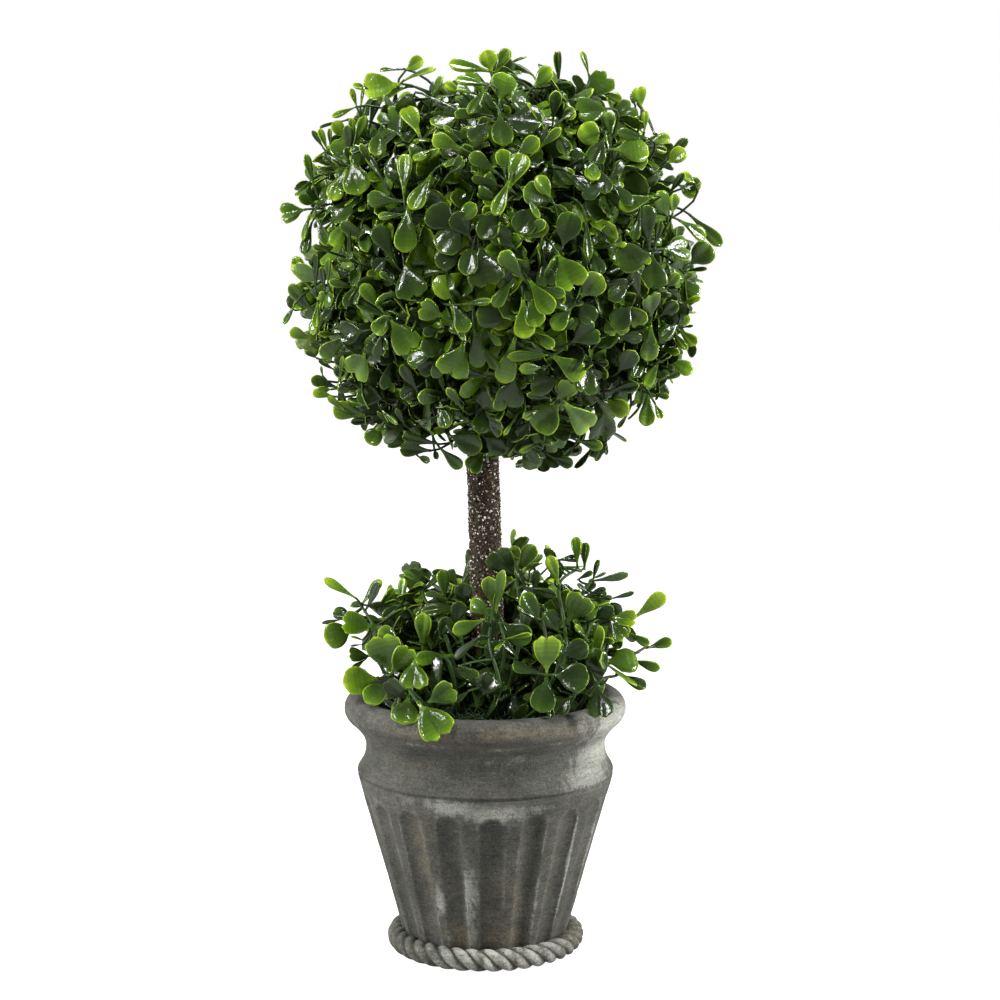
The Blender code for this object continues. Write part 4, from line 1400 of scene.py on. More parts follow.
        (-1, -40, 224, 9, -41, 217, 0.9, 0, 0.2), (25, -16, 215, 18, -19, 209, 0.95, 0, 0.2),
        (37, -15, 217, 33, -18, 213, 0.71, 0, 0.15), (25, -40, 226, 29, -43, 222, 0.71, 0, 0.3),
        (48, -44, 239, 57, -49, 234, 0.87, 0, 0.56), (73, -15, 253, 77, -18, 248, 0.72, 0, 0.15),
        (78, -37, 269, 71, -45, 264, 0.67, 0, 0.25), (53, -48, 250, 59, -56, 258, 0.86, 0, 0.26),
        (64, -40, 256, 60, -49, 249, 0.64, 0, 0.22),
    ),
    "heart": (
        (-33, -25, 364, -49, -28, 363, 1.03, 0, 0.58), (-32, -47, 342, -40, -39, 355, 0.76, 0, 0.3),
        (-14, -67, 328, -8, -71, 335, 0.7, 0, 0.3), (39, -25, 358, 51, -22, 369, 0.89, 0, 0.34),
        (63, -25, 354, 62, -28, 363, 0.95, 0, 0.58), (50, -42, 354, 36, -49, 353, 0.97, 0, 0.36),
        (51, -27, 349, 61, -20, 357, 0.89, 0, 0.26), (47, -58, 343, 42, -64, 333, 0.84, 0, 0.3),
        (33, -62, 329, 40, -69, 324, 0.77, 0, 0.2), (-72, -22, 314, -83, -25, 313, 1.06, 0, 0.45),
        (-31, -70, 295, -27, -77, 281, 1.03, 0, 0.28), (-15, -76, 274, -25, -79, 278, 1.05, 0, 0.5),
        (-2, -77, 302, 2, -84, 286, 1.05, 0, 0.2), (23, -76, 297, 25, -82, 286, 0.88, 0, 0.26),
        (28, -76, 299, 36, -80, 285, 1.07, 0, 0.5), (70, -47, 299, 84, -39, 300, 0.86, 0, 0.36),
        (66, -50, 298, 68, -57, 284, 0.99, 0, 0.3), (66, -52, 272, 66, -59, 282, 1.01, 0, 0.38),
        (-47, -53, 267, -59, -47, 265, 1.04, 0, 0.16), (-37, -65, 273, -28, -72, 260, 0.9, 0, 0.48),
        (-47, -51, 259, -54, -44, 247, 1.07, 0, 0.48), (-8, -74, 264, -14, -73, 250, 1.15, 0, 0.5),
        (28, -60, 240, 34, -68, 247, 0.87, 0, 0.5), (0, -26, 216, -6, -33, 209, 0.89, 0, 0.36),
        (33, -68, 263, 44, -72, 270, 1.04, 0, 0.3), (49, -31, 234, 48, -23, 218, 0.89, 0, 0.2),
    ),
    "narrow": (
        (-51, -24, 354, -53, -27, 362, 0.84, 30, 0.55), (-50, -23, 354, -49, -26, 363, 0.57, -20, 0.5),
        (-51, -24, 355, -61, -27, 351, 0.67, -35, 0.55), (-55, -15, 350, -67, -18, 348, 0.49, 40, 0.15),
        (-65, -17, 338, -70, -20, 345, 0.76, -15, 0.25), (-62, -21, 338, -63, -24, 346, 0.66, 0, 0.4),
        (-61, -23, 339, -69, -26, 335, 0.67, 45, 0.5), (-61, -23, 336, -69, -26, 333, 0.56, -40, 0.5),
        (-69, -21, 323, -72, -24, 336, 0.68, 20, 0.4), (-63, -18, 331, -69, -21, 329, 0.63, 20, 0.3),
        (-44, -47, 331, -48, -54, 339, 0.65, 0, 0.35), (-70, -19, 326, -76, -22, 321, 0.56, 20, 0.35),
        (19, -29, 362, 35, -32, 362, 0.69, 60, 0.12), (30, -16, 364, 29, -19, 377, 0.58, 0, 0.2),
        (30, -16, 364, 31, -19, 377, 0.39, 30, 0.2), (-25, -46, 360, -9, -55, 352, 0.44, 0, 0.15),
        (42, -22, 367, 40, -25, 377, 0.72, 10, 0.45), (-70, -27, 282, -79, -27, 292, 0.7, 0, 0.55),
        (-68, -33, 281, -68, -41, 296, 0.44, 0, 0.15), (-77, -21, 276, -82, -24, 268, 0.76, 0, 0.42),
        (-62, -47, 285, -62, -52, 295, 0.71, 0, 0.42), (16, -75, 321, 21, -82, 313, 0.64, 0, 0.5),
        (-9, -79, 279, 2, -85, 281, 0.62, 0, 0.44), (67, -48, 299, 70, -52, 310, 0.76, 0, 0.3),
        (81, -21, 289, 88, -30, 291, 0.5, 0, 0.3), (81, -25, 286, 80, -33, 272, 0.45, 60, 0.15),
        (-68, -26, 270, -69, -36, 267, 0.4, 0, 0.52), (-61, -17, 248, -68, -20, 252, 0.66, 0, 0.25),
        (-58, -41, 246, -57, -46, 256, 0.51, 0, 0.45), (-66, -23, 246, -67, -26, 250, 0.66, 0, 0.5),
        (-60, -16, 244, -59, -19, 232, 0.87, 0, 0.2), (-44, -16, 228, -55, -19, 227, 0.77, 0, 0.2),
        (-39, -29, 227, -43, -37, 232, 0.53, 0, 0.25), (-42, -33, 234, -36, -42, 229, 0.52, 0, 0.45),
        (-32, -41, 228, -35, -48, 235, 0.73, 0, 0.2), (-27, -17, 220, -40, -20, 217, 0.59, 0, 0.25),
        (-12, -75, 272, -8, -81, 266, 0.66, 0, 0.42), (26, -71, 259, 10, -79, 259, 0.62, 0, 0.42),
        (27, -61, 241, 18, -69, 243, 0.7, 0, 0.3), (12, -53, 232, 8, -56, 226, 0.66, 0, 0.5),
        (50, -18, 220, 50, -21, 214, 0.72, 0, 0.3), (59, -19, 231, 55, -22, 225, 0.74, 0, 0.35),
    ),
}


def placeCrownFront(rng, leaves, twigs):
    # each on a twig of its own from the net
    # leaves farther from the middle of the front are painted lighter, a painted glow of backlight at the
    # ball's outline
    glowFrom, rate, glowMost = crown["outlineGlow"]
    middleX, middleZ = crown["outlineGlowAround"]
    for kind, rows in crownFront.items():
        for row in rows:
            outward = fromCrownCentre(Vector(row[:3]) * mm)
            away = math.hypot(row[3] - middleX, row[5] - middleZ)
            lift = min(glowMost, max(0.0, rate * (away - glowFrom)))
            foot, along = placeLeaf(rng, leaves, kind, row, outward * 0.5, lift)
            root = crown["centre"] + (outward - along * 0.25).normalized() * crown["netRadius"]
            middle = foot - along * 0.3 * (foot - root).length
            path = curvePoints(root, middle, foot + along * 1 * mm, 6)
            addTube(twigs, path, crown["placedTwig"], int(row[8] >= 0.3), sides=4)


def crownReach(direction):
    power = crown["boxiness"]
    boxy = sum(abs(part) ** power for part in direction) ** (-1 / power)
    share, size, seed = crown["roughness"]
    return crown["outline"] * boxy * (1 + share * wobble(direction, size, seed))


def withinCrown(points, limit):
    # a leaf keeps inside the clipped outline, and off the trunk under the ball
    out = points - np.array(crown["centre"])
    away = np.linalg.norm(out, axis=1)
    power = crown["boxiness"]
    boxy = np.sum(np.abs(out / away[:, None]) ** power, axis=1) ** (-1 / power)
    return bool(np.all(away < crown["outline"] * boxy * limit)) and offTrunk(points)


def offTrunk(points):
    middle = trunk["foot"].x + (trunk["tip"].x - trunk["foot"].x) * trunkShare(points[:, 2])
    clear = np.hypot(points[:, 0] - middle, points[:, 1]) > trunk["footRadius"] + crown["trunkGap"]
    return bool(np.all(clear))


def fromCrownCentre(point):
    return (point - crown["centre"]).normalized()


def spreadDirections(count, spread, rng):
    # evenly over a ball, each a little out of place
    golden = math.pi * (3 - math.sqrt(5))
    rises = [math.asin(1 - 2 * (k + 0.5) / count) for k in range(count)]
    return [(unitFrom(k * golden, rise) + jitter(rng, spread)).normalized() for k, rise in enumerate(rises)]


def sprigTone(rng):
    pick = rng.random()
    low, high = next((low, high) for share, low, high in crown["tones"] if pick < share)
    return rng.uniform(low, high)


def buildNet(store):
    radius, bar, steps = crown["netRadius"], crown["netBar"], crown["netSteps"]
    rings = int(2 * radius / crown["netSpacing"])
    turns = np.linspace(0, 2 * math.pi, steps)
    for axes in ([0, 1, 2], [0, 2, 1]):
        for k in range(1, rings):
            level = -radius + 2 * radius * k / rings
            ringRadius = math.sqrt(radius ** 2 - level ** 2)
            ring = [ringRadius * np.cos(turns), ringRadius * np.sin(turns), np.full(steps, level)]
            path = np.stack(ring, axis=-1)[:, axes] + np.array(crown["centre"])
            addTube(store, path, [bar, bar], 1, sides=4)


def buildBoughs(store, roots):
    # wire boughs leave the trunk inside the ball, and each forks to the sprigs nearest to it
    hubs = spreadDirections(crown["hubs"], crown["hubJitter"], random.Random(crown["seed"] + 1))
    least, spread = crown["boughRoots"]
    for hub in hubs:
        start = trunkCentre(trunk["tip"].z - (least + spread * (1 - hub.z) / 2) * mm)
        middle = crown["centre"] + hub * crown["netRadius"] * crown["hubReach"]
        bent = start.lerp(middle, 0.5) + up * 4 * mm
        addTube(store, curvePoints(start, bent, middle, 7), crown["bough"], 0)
        for root in roots:
            outward = (root - crown["centre"]).normalized()
            if max(hubs, key=lambda other: other.dot(outward)) is hub:
                bent = middle.lerp(root, 0.5) + outward * 3 * mm
                addTube(store, curvePoints(middle, bent, root, 5), crown["fork"], 0)


def overFoot(directions):
    # leaves out those that point down round the trunk
    return [direction for direction in directions if direction.z >= -math.cos(crown["bareFoot"])]


def buildCrown():
    rng = random.Random(crown["seed"])
    quarters = [newStore() for _ in range(4)]
    placed, inner, twigs, net = (newStore() for _ in range(4))
    centre, radius = crown["centre"], crown["netRadius"]
    grow = {
        "twigs": twigs, "bare": (0.22, 0.35), "spacing": 8.3 * mm, "opening": 1.12, "sideShare": 0.75,
        "sideLength": 13.0 * mm, "droop": 0.32, "facing": 1.5, "mixed": 0.09, "outward": fromCrownCentre,
    }
    roots = []
    for direction in overFoot(spreadDirections(crown["sprigs"], crown["jitter"], rng)):
        heading = (direction + jitter(rng, crown["headingJitter"])).normalized()
        if abs(heading.y) < crown["sideBand"] and rng.random() < crown["sideThinned"]:
            continue
        front = min(1.0, max(0.0, crown["frontFrom"] - heading.y))  # 1 under the placed leaves
        root = centre + direction * radius
        room = crownReach(heading) - crown["overhang"] - front * crown["frontDrop"]
        tip = centre + heading * room * rng.uniform(*crown["reach"])
        middle = root.lerp(tip, 0.5) + direction * 2 * mm
        path = curvePoints(root - direction * 1.5 * mm, middle, tip, 8)
        quarter = int((math.atan2(direction.y, direction.x) + math.pi) / (math.pi / 2)) % 4
        limit = rng.uniform(*crown["limit"]) - front * crown["frontDrop"] / crown["outline"]
        grow["leaves"] = quarters[quarter]
        grow["clear"] = lambda points: withinCrown(points, limit)
        tone = sprigTone(rng) - crown["frontShade"] * front
        growSprig(rng, grow, path, crown["twig"], crown["leafSize"], tone)
        roots.append(root)

    placeCrownFront(rng, placed, twigs)
    deep = {
        "leaves": inner, "twigs": twigs, "droop": 0.0, "facing": 0.0, "pattern": "plain", "fading": 0.5,
        "outward": fromCrownCentre,
    }
    for direction in overFoot(spreadDirections(crown["innerLeaves"], crown["innerJitter"], rng)):
        base = centre + direction * radius * rng.uniform(*crown["innerReach"])
        out = sideAxes(direction, rng)[0]
        opening, tone = rng.uniform(*crown["innerOpening"]), rng.uniform(*crown["innerTone"])
        tryLeaf(rng, deep, base, direction, out, opening, crown["innerSize"], tone)

    buildNet(net)
    buildBoughs(net, roots)
    for n, store in enumerate(quarters):
        made = makeObject(f"crown_leaves_{n + 1}", store, leafSet)
        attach(made, "root")
        if n == 0:
            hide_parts("crown")
    for name, store, materials, slot in (
        ("crown_front_leaves", placed, leafSet, "foliage"),
        ("crown_inner_leaves", inner, leafSet, "foliage"),
        ("crown_twigs", twigs, twigSet, "sprig_stem"),
        ("crown_net_and_boughs", net, twigSet, "sprig_stem"),
    ):
        made = makeObject(name, store, materials)
        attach(made, "root")


buildCrown()
print("crown grown")


# Base planting: long sprigs rooted in the moss pad, leaning out over the lip

planting = {
    "rootSpread": (9 * mm, 33 * mm),
    "rootDepth": -2 * mm,
    "rootError": 0.12,
    "stem": 0.85 * mm,
    "frontStem": (0.95 * mm, 0.6 * mm),
    "stalk": (0.55 * mm, 0.5 * mm),
    "rows": ((1.0, 0.4), (0.66, 1.0), (0.88, 0.7)),  # how far out and how high each sprig of a tuft goes
    "rowTurn": 0.62,
    "turnError": 0.06,
    "reachError": (0.94, 1.06),
    "riseError": (0.9, 1.1),
    "tuftsLighter": 0.05,
    "tuftRange": (74 * mm, 20 * mm),
    "tuftTop": 18 * mm,
    "lowest": 120 * mm,
    "leafSize": (1.1, 1.3),
    "lowLeaves": 170,
    "innerSprigs": 18,
    "innerTip": (14, 32, 114, 132),  # distances from the middle and heights in mm
    "innerRoot": (9, 15),
    "innerTurn": 0.2,
    "innerTone": (0.0, 0.14),
    "innerSize": 1.1,
    "lowPlace": (12, 40, 2, 20),  # distances from the middle and heights over the moss in mm
    "lowOpening": (0.3, 1.0),
    "lowTone": (0.0, 0.12),
    "lowSize": 0.8,
    "seed": 47,
    "lipGap": 0.4 * mm,
    "lipFoot": 90 * mm,
}
tuftNames = [name for name in sorted(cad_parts) if name.startswith("tuft_")]
stemNames = [name for name in sorted(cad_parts) if name.startswith("stem_")]


def clearOfPot(points):
    # leaves stay above the moss, over or outside the rolled lip, and off the trunk
    radius = np.hypot(points[:, 0], points[:, 1])
    lipRadius, lipHeight = pot["lipCentre"]
    halfWide, halfTall = (half + planting["lipGap"] for half in pot["lipHalf"])
    overLip = lipHeight + halfTall * np.sqrt(np.clip(1 - ((radius - lipRadius) / halfWide) ** 2, 0, 1))
    lowest = np.where(radius < lipRadius - halfWide, plug["centreHeight"] + 1 * mm, overLip)
    lowest = np.where(radius > lipRadius + halfWide, planting["lipFoot"], lowest)
    return bool(np.all(points[:, 2] > lowest)) and offTrunk(points)


def fromMoss(point):
    return (Vector((point.x, point.y, 0)).normalized() + up).normalized()


# Leaves at the front by kind, in the same order as those of the crown
plantingFront = {
    "spoon": (
        (10, -16, 122, 3, -15, 131, 1.1, 20, 0.16),
        (11, -14, 135, 1, -13, 149, 0.9, 15, 0.22),
        (-54, 0, 150, -67, -4, 160, 0.62, 25, 0.64), (-53, 8, 146, -45, 11, 157, 0.85, -20, 0.52),
        (-48, -8, 138, -48, -11, 127, 0.8, 155, 0.1), (-50, -8, 126, -56, -12, 123, 0.8, 20, 0.48),
        (-29, -40, 114, -41, -44, 125, 0.95, 170, 0.16), (-26, -12, 130, -27, -17, 146, 1.05, -25, 0.52),
        (-13, -20, 130, -29, -25, 130, 0.9, 20, 0.48), (-34, -40, 120, -37, -47, 112, 0.8, 25, 0.36),
        (-28, 10, 150, -19, 14, 160, 0.62, -35, 0.36), (-17, 4, 148, -18, 4, 162, 0.95, 5, 0.42),
        (-16, 0, 150, -26, 4, 153, 0.7, 30, 0.32), (-7, -8, 148, -27, -12, 149, 0.7, 25, 0.28),
        (-15, 6, 150, -12, 8, 155, 0.8, 20, 0.54), (-47, 10, 143, -38, 13, 152, 0.75, 30, 0.48),
        (13, -4, 161, 20, -7, 174, 1.1, -5, 0.46), (5, -4, 162, -5, -4, 162, 0.9, 25, 0.46),
        (3, -14, 149, 1, -18, 162, 1.1, -15, 0.5), (17, -8, 155, 14, -12, 165, 0.85, 20, 0.14),
        (20, -10, 154, 21, -14, 164, 0.9, -15, 0.12), (15, -14, 158, 29, -20, 154, 0.7, 25, 0.14),
        (31, -8, 157, 27, -12, 170, 0.9, 5, 0.66), (30, 4, 166, 40, 8, 167, 0.8, -20, 0.26),
        (24, -22, 141, 17, -27, 157, 1, 15, 0.3), (0, -26, 146, -12, -34, 142, 1.05, -30, 0.48),
        (24, -50, 128, 12, -54, 134, 0.9, 30, 0.12), (27, -46, 117, 27, -51, 111, 0.9, 0, 0.2),
        (-11, -40, 130, -3, -45, 126, 0.9, 10, 0.26), (-6, -42, 120, -12, -47, 117, 0.8, 20, 0.08),
        (46, -20, 137, 53, -24, 136, 0.9, 20, 0.46), (62, -8, 143, 75, -12, 154, 0.88, 10, 0.68),
        (60, -2, 136, 69, -5, 131, 0.9, 20, 0.5), (68, 4, 128, 79, 2, 132, 1, -15, 0.46),
        (61, -6, 125, 73, -11, 122, 0.85, 25, 0.46), (55, -14, 121, 67, -20, 117, 0.95, -20, 0.22),
        (41, 6, 149, 51, 6, 154, 0.75, -25, 0.14), (39, 18, 155, 46, 20, 159, 0.8, -20, 0.3),
        (34, 0, 151, 30, -3, 159, 0.8, 20, 0.12), (14, -30, 130, 8, -34, 139, 0.8, 20, 0.2),
        (25, -34, 133, 31, -37, 141, 0.9, 25, 0.16), (21, -24, 146, 14, -27, 152, 0.8, 25, 0.22),
        (39, -38, 119, 44, -42, 115, 0.7, 30, 0.08),
    ),
    "round": (
        (0, -16, 124, 6, -15, 135, 1.0, -10, 0.12),
        (-55, -4, 138, -67, -10, 135, 1.1, -5, 0.5), (-57, 4, 142, -65, 7, 144, 0.95, 20, 0.34),
        (-51, 8, 146, -58, 12, 146, 0.7, 35, 0.38), (-44, -18, 120, -58, -26, 120, 1, 5, 0.62),
        (-39, -26, 120, -49, -34, 114, 0.9, 15, 0.46), (-35, -22, 135, -43, -26, 142, 0.9, 10, 0.46),
        (-26, 5, 148, -32, 2, 143, 0.95, 20, 0.54), (-31, -44, 118, -33, -53, 109, 1.2, 0, 0.42),
        (-9, -8, 148, -9, -12, 158, 1, 0, 0.2), (-36, 0, 147, -43, -4, 143, 0.8, 10, 0.3),
        (16, 6, 165, 10, 8, 171, 0.9, 10, 0.58), (2, -20, 146, -5, -25, 154, 0.85, 10, 0.46),
        (31, -20, 139, 26, -24, 149, 0.9, 20, 0.26), (7, -26, 145, 18, -32, 138, 0.9, 10, 0.3),
        (25, -50, 127, 23, -56, 114, 1, -15, 0.3), (27, -50, 128, 42, -53, 127, 1.05, -5, 0.14),
        (31, -32, 132, 42, -36, 137, 0.95, 10, 0.14), (35, -44, 118, 29, -48, 112, 1, 10, 0.14),
        (48, -26, 118, 46, -31, 134, 0.8, 10, 0.13), (53, -12, 140, 55, -17, 132, 0.8, 30, 0.34),
        (65, 0, 127, 58, -6, 127, 0.95, 10, 0.3), (49, -10, 128, 55, -14, 130, 0.8, 30, 0.16),
        (45, -12, 143, 53, -16, 149, 0.8, 20, 0.18), (31, -30, 138, 23, -34, 135, 0.8, 20, 0.14),
        (-19, -16, 136, -15, -19, 145, 0.8, 25, 0.16), (-13, -12, 141, -10, -15, 151, 0.8, 15, 0.18),
    ),
    "heart": (
        (-3, -14, 134, 5, -15, 144, 0.9, 0, 0.2),
        (-46, -6, 139, -60, -11, 143, 0.92, 15, 0.47), (-48, -8, 127, -57, -13, 130, 0.85, 30, 0.38),
        (-38, -28, 123, -43, -34, 141, 1, -10, 0.5), (-39, -32, 124, -30, -37, 136, 0.85, 20, 0.5),
        (-29, -34, 132, -29, -43, 120, 1.05, 0, 0.48), (-24, -46, 115, -12, -52, 123, 0.85, 10, 0.46),
        (-27, -54, 118, -16, -63, 105, 1, -5, 0.5), (13, -8, 160, 3, -13, 172, 1, -28, 0.08),
        (34, -20, 143, 41, -25, 156, 1.05, 5, 0.42), (25, -50, 128, 25, -55, 145, 0.82, 0, 0.62),
        (46, -40, 122, 47, -50, 110, 0.92, 0, 0.2), (52, -14, 145, 63, -19, 145, 0.85, -10, 0.62),
        (52, -14, 144, 58, -21, 137, 0.95, 10, 0.48),
    ),
    "narrow": (
        (-51, 2, 144, -43, 0, 157, 0.75, 150, 0.12), (-60, 2, 141, -69, 6, 139, 0.5, 160, 0.1),
        (-51, 0, 132, -57, 2, 135, 0.6, 40, 0.52), (-51, -2, 131, -57, 0, 130, 0.4, 165, 0.1),
        (-36, 6, 145, -36, 8, 158, 1, -30, 0.54), (-26, 15, 153, -35, 20, 160, 0.8, 35, 0.4),
        (-35, 8, 148, -27, 11, 156, 0.8, -30, 0.54), (-11, 10, 152, -6, 12, 167, 0.7, -30, 0.32),
        (-47, 8, 145, -37, 10, 147, 0.7, 20, 0.4), (-45, -5, 140, -34, -8, 146, 0.6, 30, 0.2),
        (-11, -18, 134, -15, -20, 143, 0.6, 30, 0.14), (4, -18, 147, 7, -23, 166, 0.8, -35, 0.42),
        (31, 2, 163, 42, 5, 163, 0.7, -40, 0.12), (39, 6, 163, 39, 8, 176, 1, 10, 0.54),
        (42, 8, 161, 42, 11, 173, 1, -15, 0.42), (-2, -28, 140, -14, -32, 131, 0.7, 160, 0.14),
        (8, -32, 139, 19, -35, 141, 0.6, 30, 0.52), (9, -32, 139, 4, -37, 136, 0.6, 20, 0.56),
        (46, -24, 127, 46, -28, 143, 0.9, -30, 0.46), (45, 20, 154, 63, 26, 155, 0.6, 35, 0.32),
        (45, 24, 154, 53, 28, 156, 0.5, 40, 0.3), (45, 8, 148, 55, 10, 148, 0.8, 30, 0.16),
        (53, 10, 148, 64, 14, 150, 0.6, 40, 0.22), (46, 24, 153, 48, 27, 163, 0.8, -40, 0.32),
        (54, -10, 145, 52, -12, 150, 0.8, 20, 0.42), (43, -22, 136, 38, -25, 144, 0.8, 30, 0.54),
        (40, 0, 149, 34, -3, 157, 0.8, 30, 0.1), (44, 8, 151, 40, 5, 156, 0.9, 30, 0.38),
    ),
}
# Their stems in mm, each from its root in the moss
frontStems = [
    ((-22, -12), (-42, -24, 124), (-46, -8, 138), (-52, 2, 146)),
    ((-26, -18), (-38, -30, 122), (-44, -20, 120)),
    ((-14, -24), (-30, -44, 120), (-27, -52, 117)),
    ((-16, -18), (-30, -30, 128), (-34, -22, 134)),
    ((-8, -12), (-16, -16, 136), (-26, 4, 150), (-26, 12, 154)),
    ((-10, -16), (-15, -22, 127), (-23, -14, 129), (-26, -12, 130)),
    ((-4, -10), (-10, -16, 136), (-11, 0, 148), (-17, 4, 149)),
    ((-16, 4), (-28, 0, 137), (-35, 4, 146), (-46, 8, 144)),
    ((-2, -20), (6, -34, 118), (2, -28, 136), (3, -18, 148)),
    ((2, -18), (8, -30, 132), (6, -24, 146)),
    ((6, -14), (15, -22, 141), (13, -8, 160), (15, 4, 165)),
    ((8, -28), (25, -46, 117), (25, -50, 128)),
    ((14, -14), (25, -30, 134), (20, -10, 155)),
    ((18, -12), (32, -28, 130), (33, -18, 142), (31, -6, 157), (39, 6, 162)),
    ((20, -6), (42, -16, 136), (41, 4, 149), (45, 20, 154)),
    ((26, -10), (48, -22, 127), (53, -12, 143), (62, -8, 143)),
    ((32, -8), (49, -16, 124), (58, -6, 125), (69, 4, 129)),
    ((32, -16), (46, -34, 121), (55, -14, 120)),
    ((24, -24), (37, -44, 120), (30, -32, 130)),
]


def smoothPath(points, count):
    # a smooth run through the points
    points = [points[0] * 2 - points[1], *points, points[-1] * 2 - points[-2]]
    path = [points[1]]
    for before, start, end, after in zip(points, points[1:], points[2:], points[3:]):
        corners = (start, start + (end - before) / 6, end - (after - start) / 6, end)
        path += geometry.interpolate_bezier(*corners, count)[1:]
    return path


def placeFrontLeaves(rng, leaves, twigs):
    joints = []
    for root, *rest in frontStems:
        foot = setOnMoss(Vector((*root, 0)) * mm, planting["rootDepth"])
        path = smoothPath([foot] + [Vector(spot) * mm for spot in rest], 7)
        addTube(twigs, path, planting["frontStem"], rng.choice((0, 1, 1)), sides=8)
        joints += path[5:]
    for kind, rows in plantingFront.items():
        for row in rows:
            foot, along = placeLeaf(rng, leaves, kind, row, Vector())
            joint = min(joints, key=lambda spot: (spot - foot).length)
            if (joint - foot).length > 0.8 * mm:
                middle = joint.lerp(foot, 0.5) - along * 1.2 * mm
                addTube(twigs, curvePoints(joint, middle, foot + along * 1 * mm, 5), planting["stalk"], 1)


def baseSprig(rng, grow, tip, rootRadius, tone, size):
    azimuth = math.atan2(tip.y, tip.x) + rng.gauss(0, planting["rootError"])
    root = setOnMoss(spotAt(rootRadius, azimuth), planting["rootDepth"])
    middle = root.lerp(tip, 0.45) + up * 0.16 * (tip - root).length
    growSprig(rng, grow, curvePoints(root, middle, tip, 10), planting["stem"], size, tone)


def growTufts(rng, grow):
    # a few long sprigs over each tuft that stands at the sides or behind; the front has its own
    farthest, inset = planting["tuftRange"]
    lowest = planting["lowest"]
    for name in tuftNames:
        low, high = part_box(name)
        centre = (low + high) / 2
        if centre.y < -5 * mm:
            continue
        azimuth = math.atan2(centre.y, centre.x)
        reach = max(Vector((x, y)).length for x in (low.x, high.x) for y in (low.y, high.y))
        reach = min(reach, farthest) - inset
        top = high.z - planting["tuftTop"]
        for n, (out, climb) in enumerate(planting["rows"]):
            turn = azimuth + (n - 1) / 2 * planting["rowTurn"] + rng.gauss(0, planting["turnError"])
            share = out * rng.uniform(*planting["reachError"])
            rise = lowest + (top - lowest) * climb * rng.uniform(*planting["riseError"])
            tip = spotAt(reach * share, turn, rise)
            rootRadius, tone = rng.uniform(*planting["rootSpread"]), sprigTone(rng) + planting["tuftsLighter"]
            baseSprig(rng, grow, tip, rootRadius, tone, rng.uniform(*planting["leafSize"]))


def fillMiddle(rng, grow):
    # short dark sprigs and single leaves over the moss
    near, far, low, high = planting["innerTip"]
    for n in range(planting["innerSprigs"]):
        turn = 2 * math.pi * n / planting["innerSprigs"] + rng.gauss(0, planting["innerTurn"])
        if math.sin(turn) < -0.5:
            continue
        tip = unitFrom(turn) * rng.uniform(near, far) * mm + up * rng.uniform(low, high) * mm
        rootRadius = rng.uniform(*planting["innerRoot"]) * mm
        baseSprig(rng, grow, tip, rootRadius, rng.uniform(*planting["innerTone"]), planting["innerSize"])
    near, far, low, high = planting["lowPlace"]
    for _ in range(planting["lowLeaves"]):
        turn = rng.uniform(0, 2 * math.pi)
        base = setOnMoss(unitFrom(turn) * rng.uniform(near, far) * mm, rng.uniform(low, high) * mm)
        lean = (unitFrom(turn) * 0.5 + up).normalized()
        out = sideAxes(lean, rng)[0]
        opening, tone = rng.uniform(*planting["lowOpening"]), rng.uniform(*planting["lowTone"])
        tryLeaf(rng, grow, base, lean, out, opening, planting["lowSize"], tone)


def buildPlanting():
    rng = random.Random(planting["seed"])
    leaves, twigs = newStore(), newStore()
    grow = {
        "leaves": leaves, "twigs": twigs, "bare": (0.42, 0.3), "spacing": 8.5 * mm, "opening": 1.0,
        "sideShare": 0.45, "sideLength": 13 * mm, "droop": 0.10, "facing": 0.6, "clear": clearOfPot,
        "outward": fromMoss,
    }
    placeFrontLeaves(rng, leaves, twigs)
    growTufts(rng, grow)
    fillMiddle(rng, dict(grow, fading=0.3))
    made = makeObject("base_leaves", leaves, leafSet)
    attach(made, "root")
    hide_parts(*tuftNames)
    made = makeObject("base_twigs", twigs, twigSet)
    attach(made, "root")
    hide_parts(*stemNames)


buildPlanting()
print("base planting grown")


# Studio: pale floor, bright surround that is dimmer behind the camera, and soft boxes

studio = {
    "cameraAt": Vector((0.00618, -1.03286, 0.33741)),
    "cameraPitch": math.radians(-8.003),
    "lens": 89.44,
    "sensor": 36.0,
    "surroundBack": 0.38,
    "surroundFront": 0.235,
    "surroundFade": (-0.85, 0.3),
    "floorGrey": (0.40, 0.40, 0.40, 1.0),
    "floorSeen": 0.95,
    "floorGlow": 0.05,
    "floorRoughness": (0.7, 0.9),
    "floorGrain": 4.0,
    "floorSize": 12.0,
    "floorDrop": 0.2 * mm,
    "white": (1, 1, 1, 1),
    "lightsAimAt": (0, 0, 0.2),
}
softBoxes = {
    "keyTopLeft": {"at": (-0.60, -0.85, 1.20), "wide": 0.24, "power": 12.0},
    "sideRight": {"at": (1.25, -0.15, 0.70), "wide": 0.26, "power": 23.5},
    "sideLeft": {"at": (-1.25, 0.05, 0.50), "wide": 0.26, "power": 15.0},
    "topBack": {"at": (0.15, 0.35, 1.30), "wide": 0.34, "power": 11.0},
}


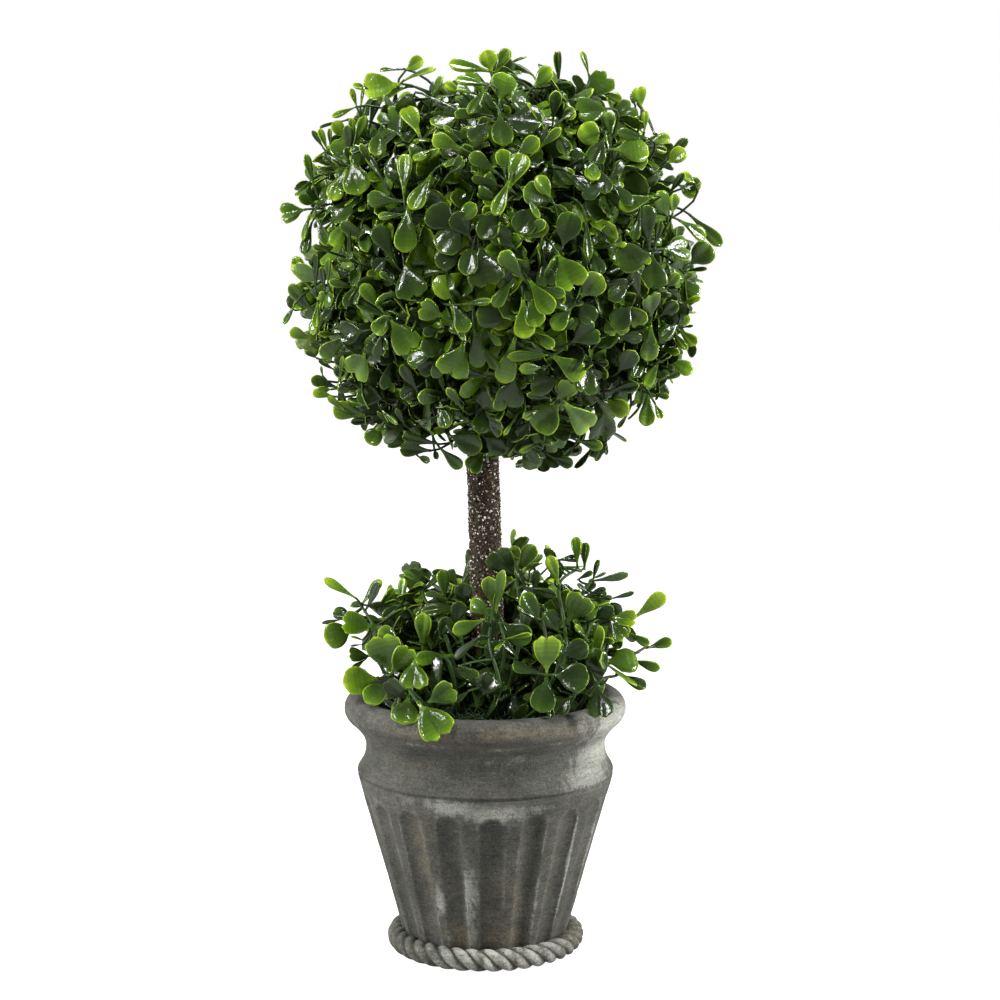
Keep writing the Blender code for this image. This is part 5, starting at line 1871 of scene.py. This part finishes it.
def buildFloor():
    bpy.ops.mesh.primitive_plane_add(size=studio["floorSize"], location=(0, 0, -studio["floorDrop"]))
    floor = bpy.context.object
    floor.name = "studio_floor"
    look = {"Base_Color": studio["floorGrey"], "Emission_Color": studio["white"]}
    material, tree, shader = newMaterial("paleFloor", **look)
    seen = addNode(tree, "ShaderNodeLightPath").outputs["Is Camera Ray"]
    glow = remap(tree, seen, 0, 1, studio["floorGlow"], studio["floorSeen"])
    feed(tree, shader.inputs["Emission Strength"], glow)
    paper = addNode(tree, "ShaderNodeTexNoise", {"Scale": studio["floorGrain"]}).outputs["Fac"]
    feed(tree, shader.inputs["Roughness"], remap(tree, paper, 0.0, 1.0, *studio["floorRoughness"]))
    floor.data.materials.append(material)


def buildSurround():
    world = bpy.data.worlds.new("studioSurround")
    bpy.context.scene.world = world
    world.use_nodes = True
    tree = world.node_tree
    direction = addNode(tree, "ShaderNodeTexCoord").outputs["Generated"]
    facing = addNode(tree, "ShaderNodeSeparateXYZ", {0: direction}).outputs["Y"]
    glows = studio["surroundFront"], studio["surroundBack"]
    lighting = remap(tree, facing, *studio["surroundFade"], *glows)
    seen = addNode(tree, "ShaderNodeLightPath").outputs["Is Camera Ray"]
    background = tree.nodes["Background"]
    feed(tree, background.inputs["Strength"], maths(tree, "MAXIMUM", lighting, seen))
    feed(tree, background.inputs["Color"], studio["white"])


def buildLights():
    target = Vector(studio["lightsAimAt"])
    for name, box in softBoxes.items():
        light = bpy.data.lights.new(name, "AREA")
        light.size = box["wide"]
        light.energy = box["power"]
        holder = bpy.data.objects.new(name, light)
        holder.location = box["at"]
        holder.rotation_euler = (target - holder.location).to_track_quat("-Z", "Y").to_euler()
        bpy.context.scene.collection.objects.link(holder)


def buildCamera():
    camera = bpy.data.cameras.new("camera")
    camera.lens = studio["lens"]
    camera.sensor_width = studio["sensor"]
    holder = bpy.data.objects.new("camera", camera)
    holder.location = studio["cameraAt"]
    holder.rotation_euler = (math.pi / 2 + studio["cameraPitch"], 0, 0)
    bpy.context.scene.collection.objects.link(holder)
    bpy.context.scene.camera = holder


buildFloor()
buildSurround()
buildLights()
buildCamera()
bpy.context.scene.view_settings.view_transform = "Standard"
print("studio set")
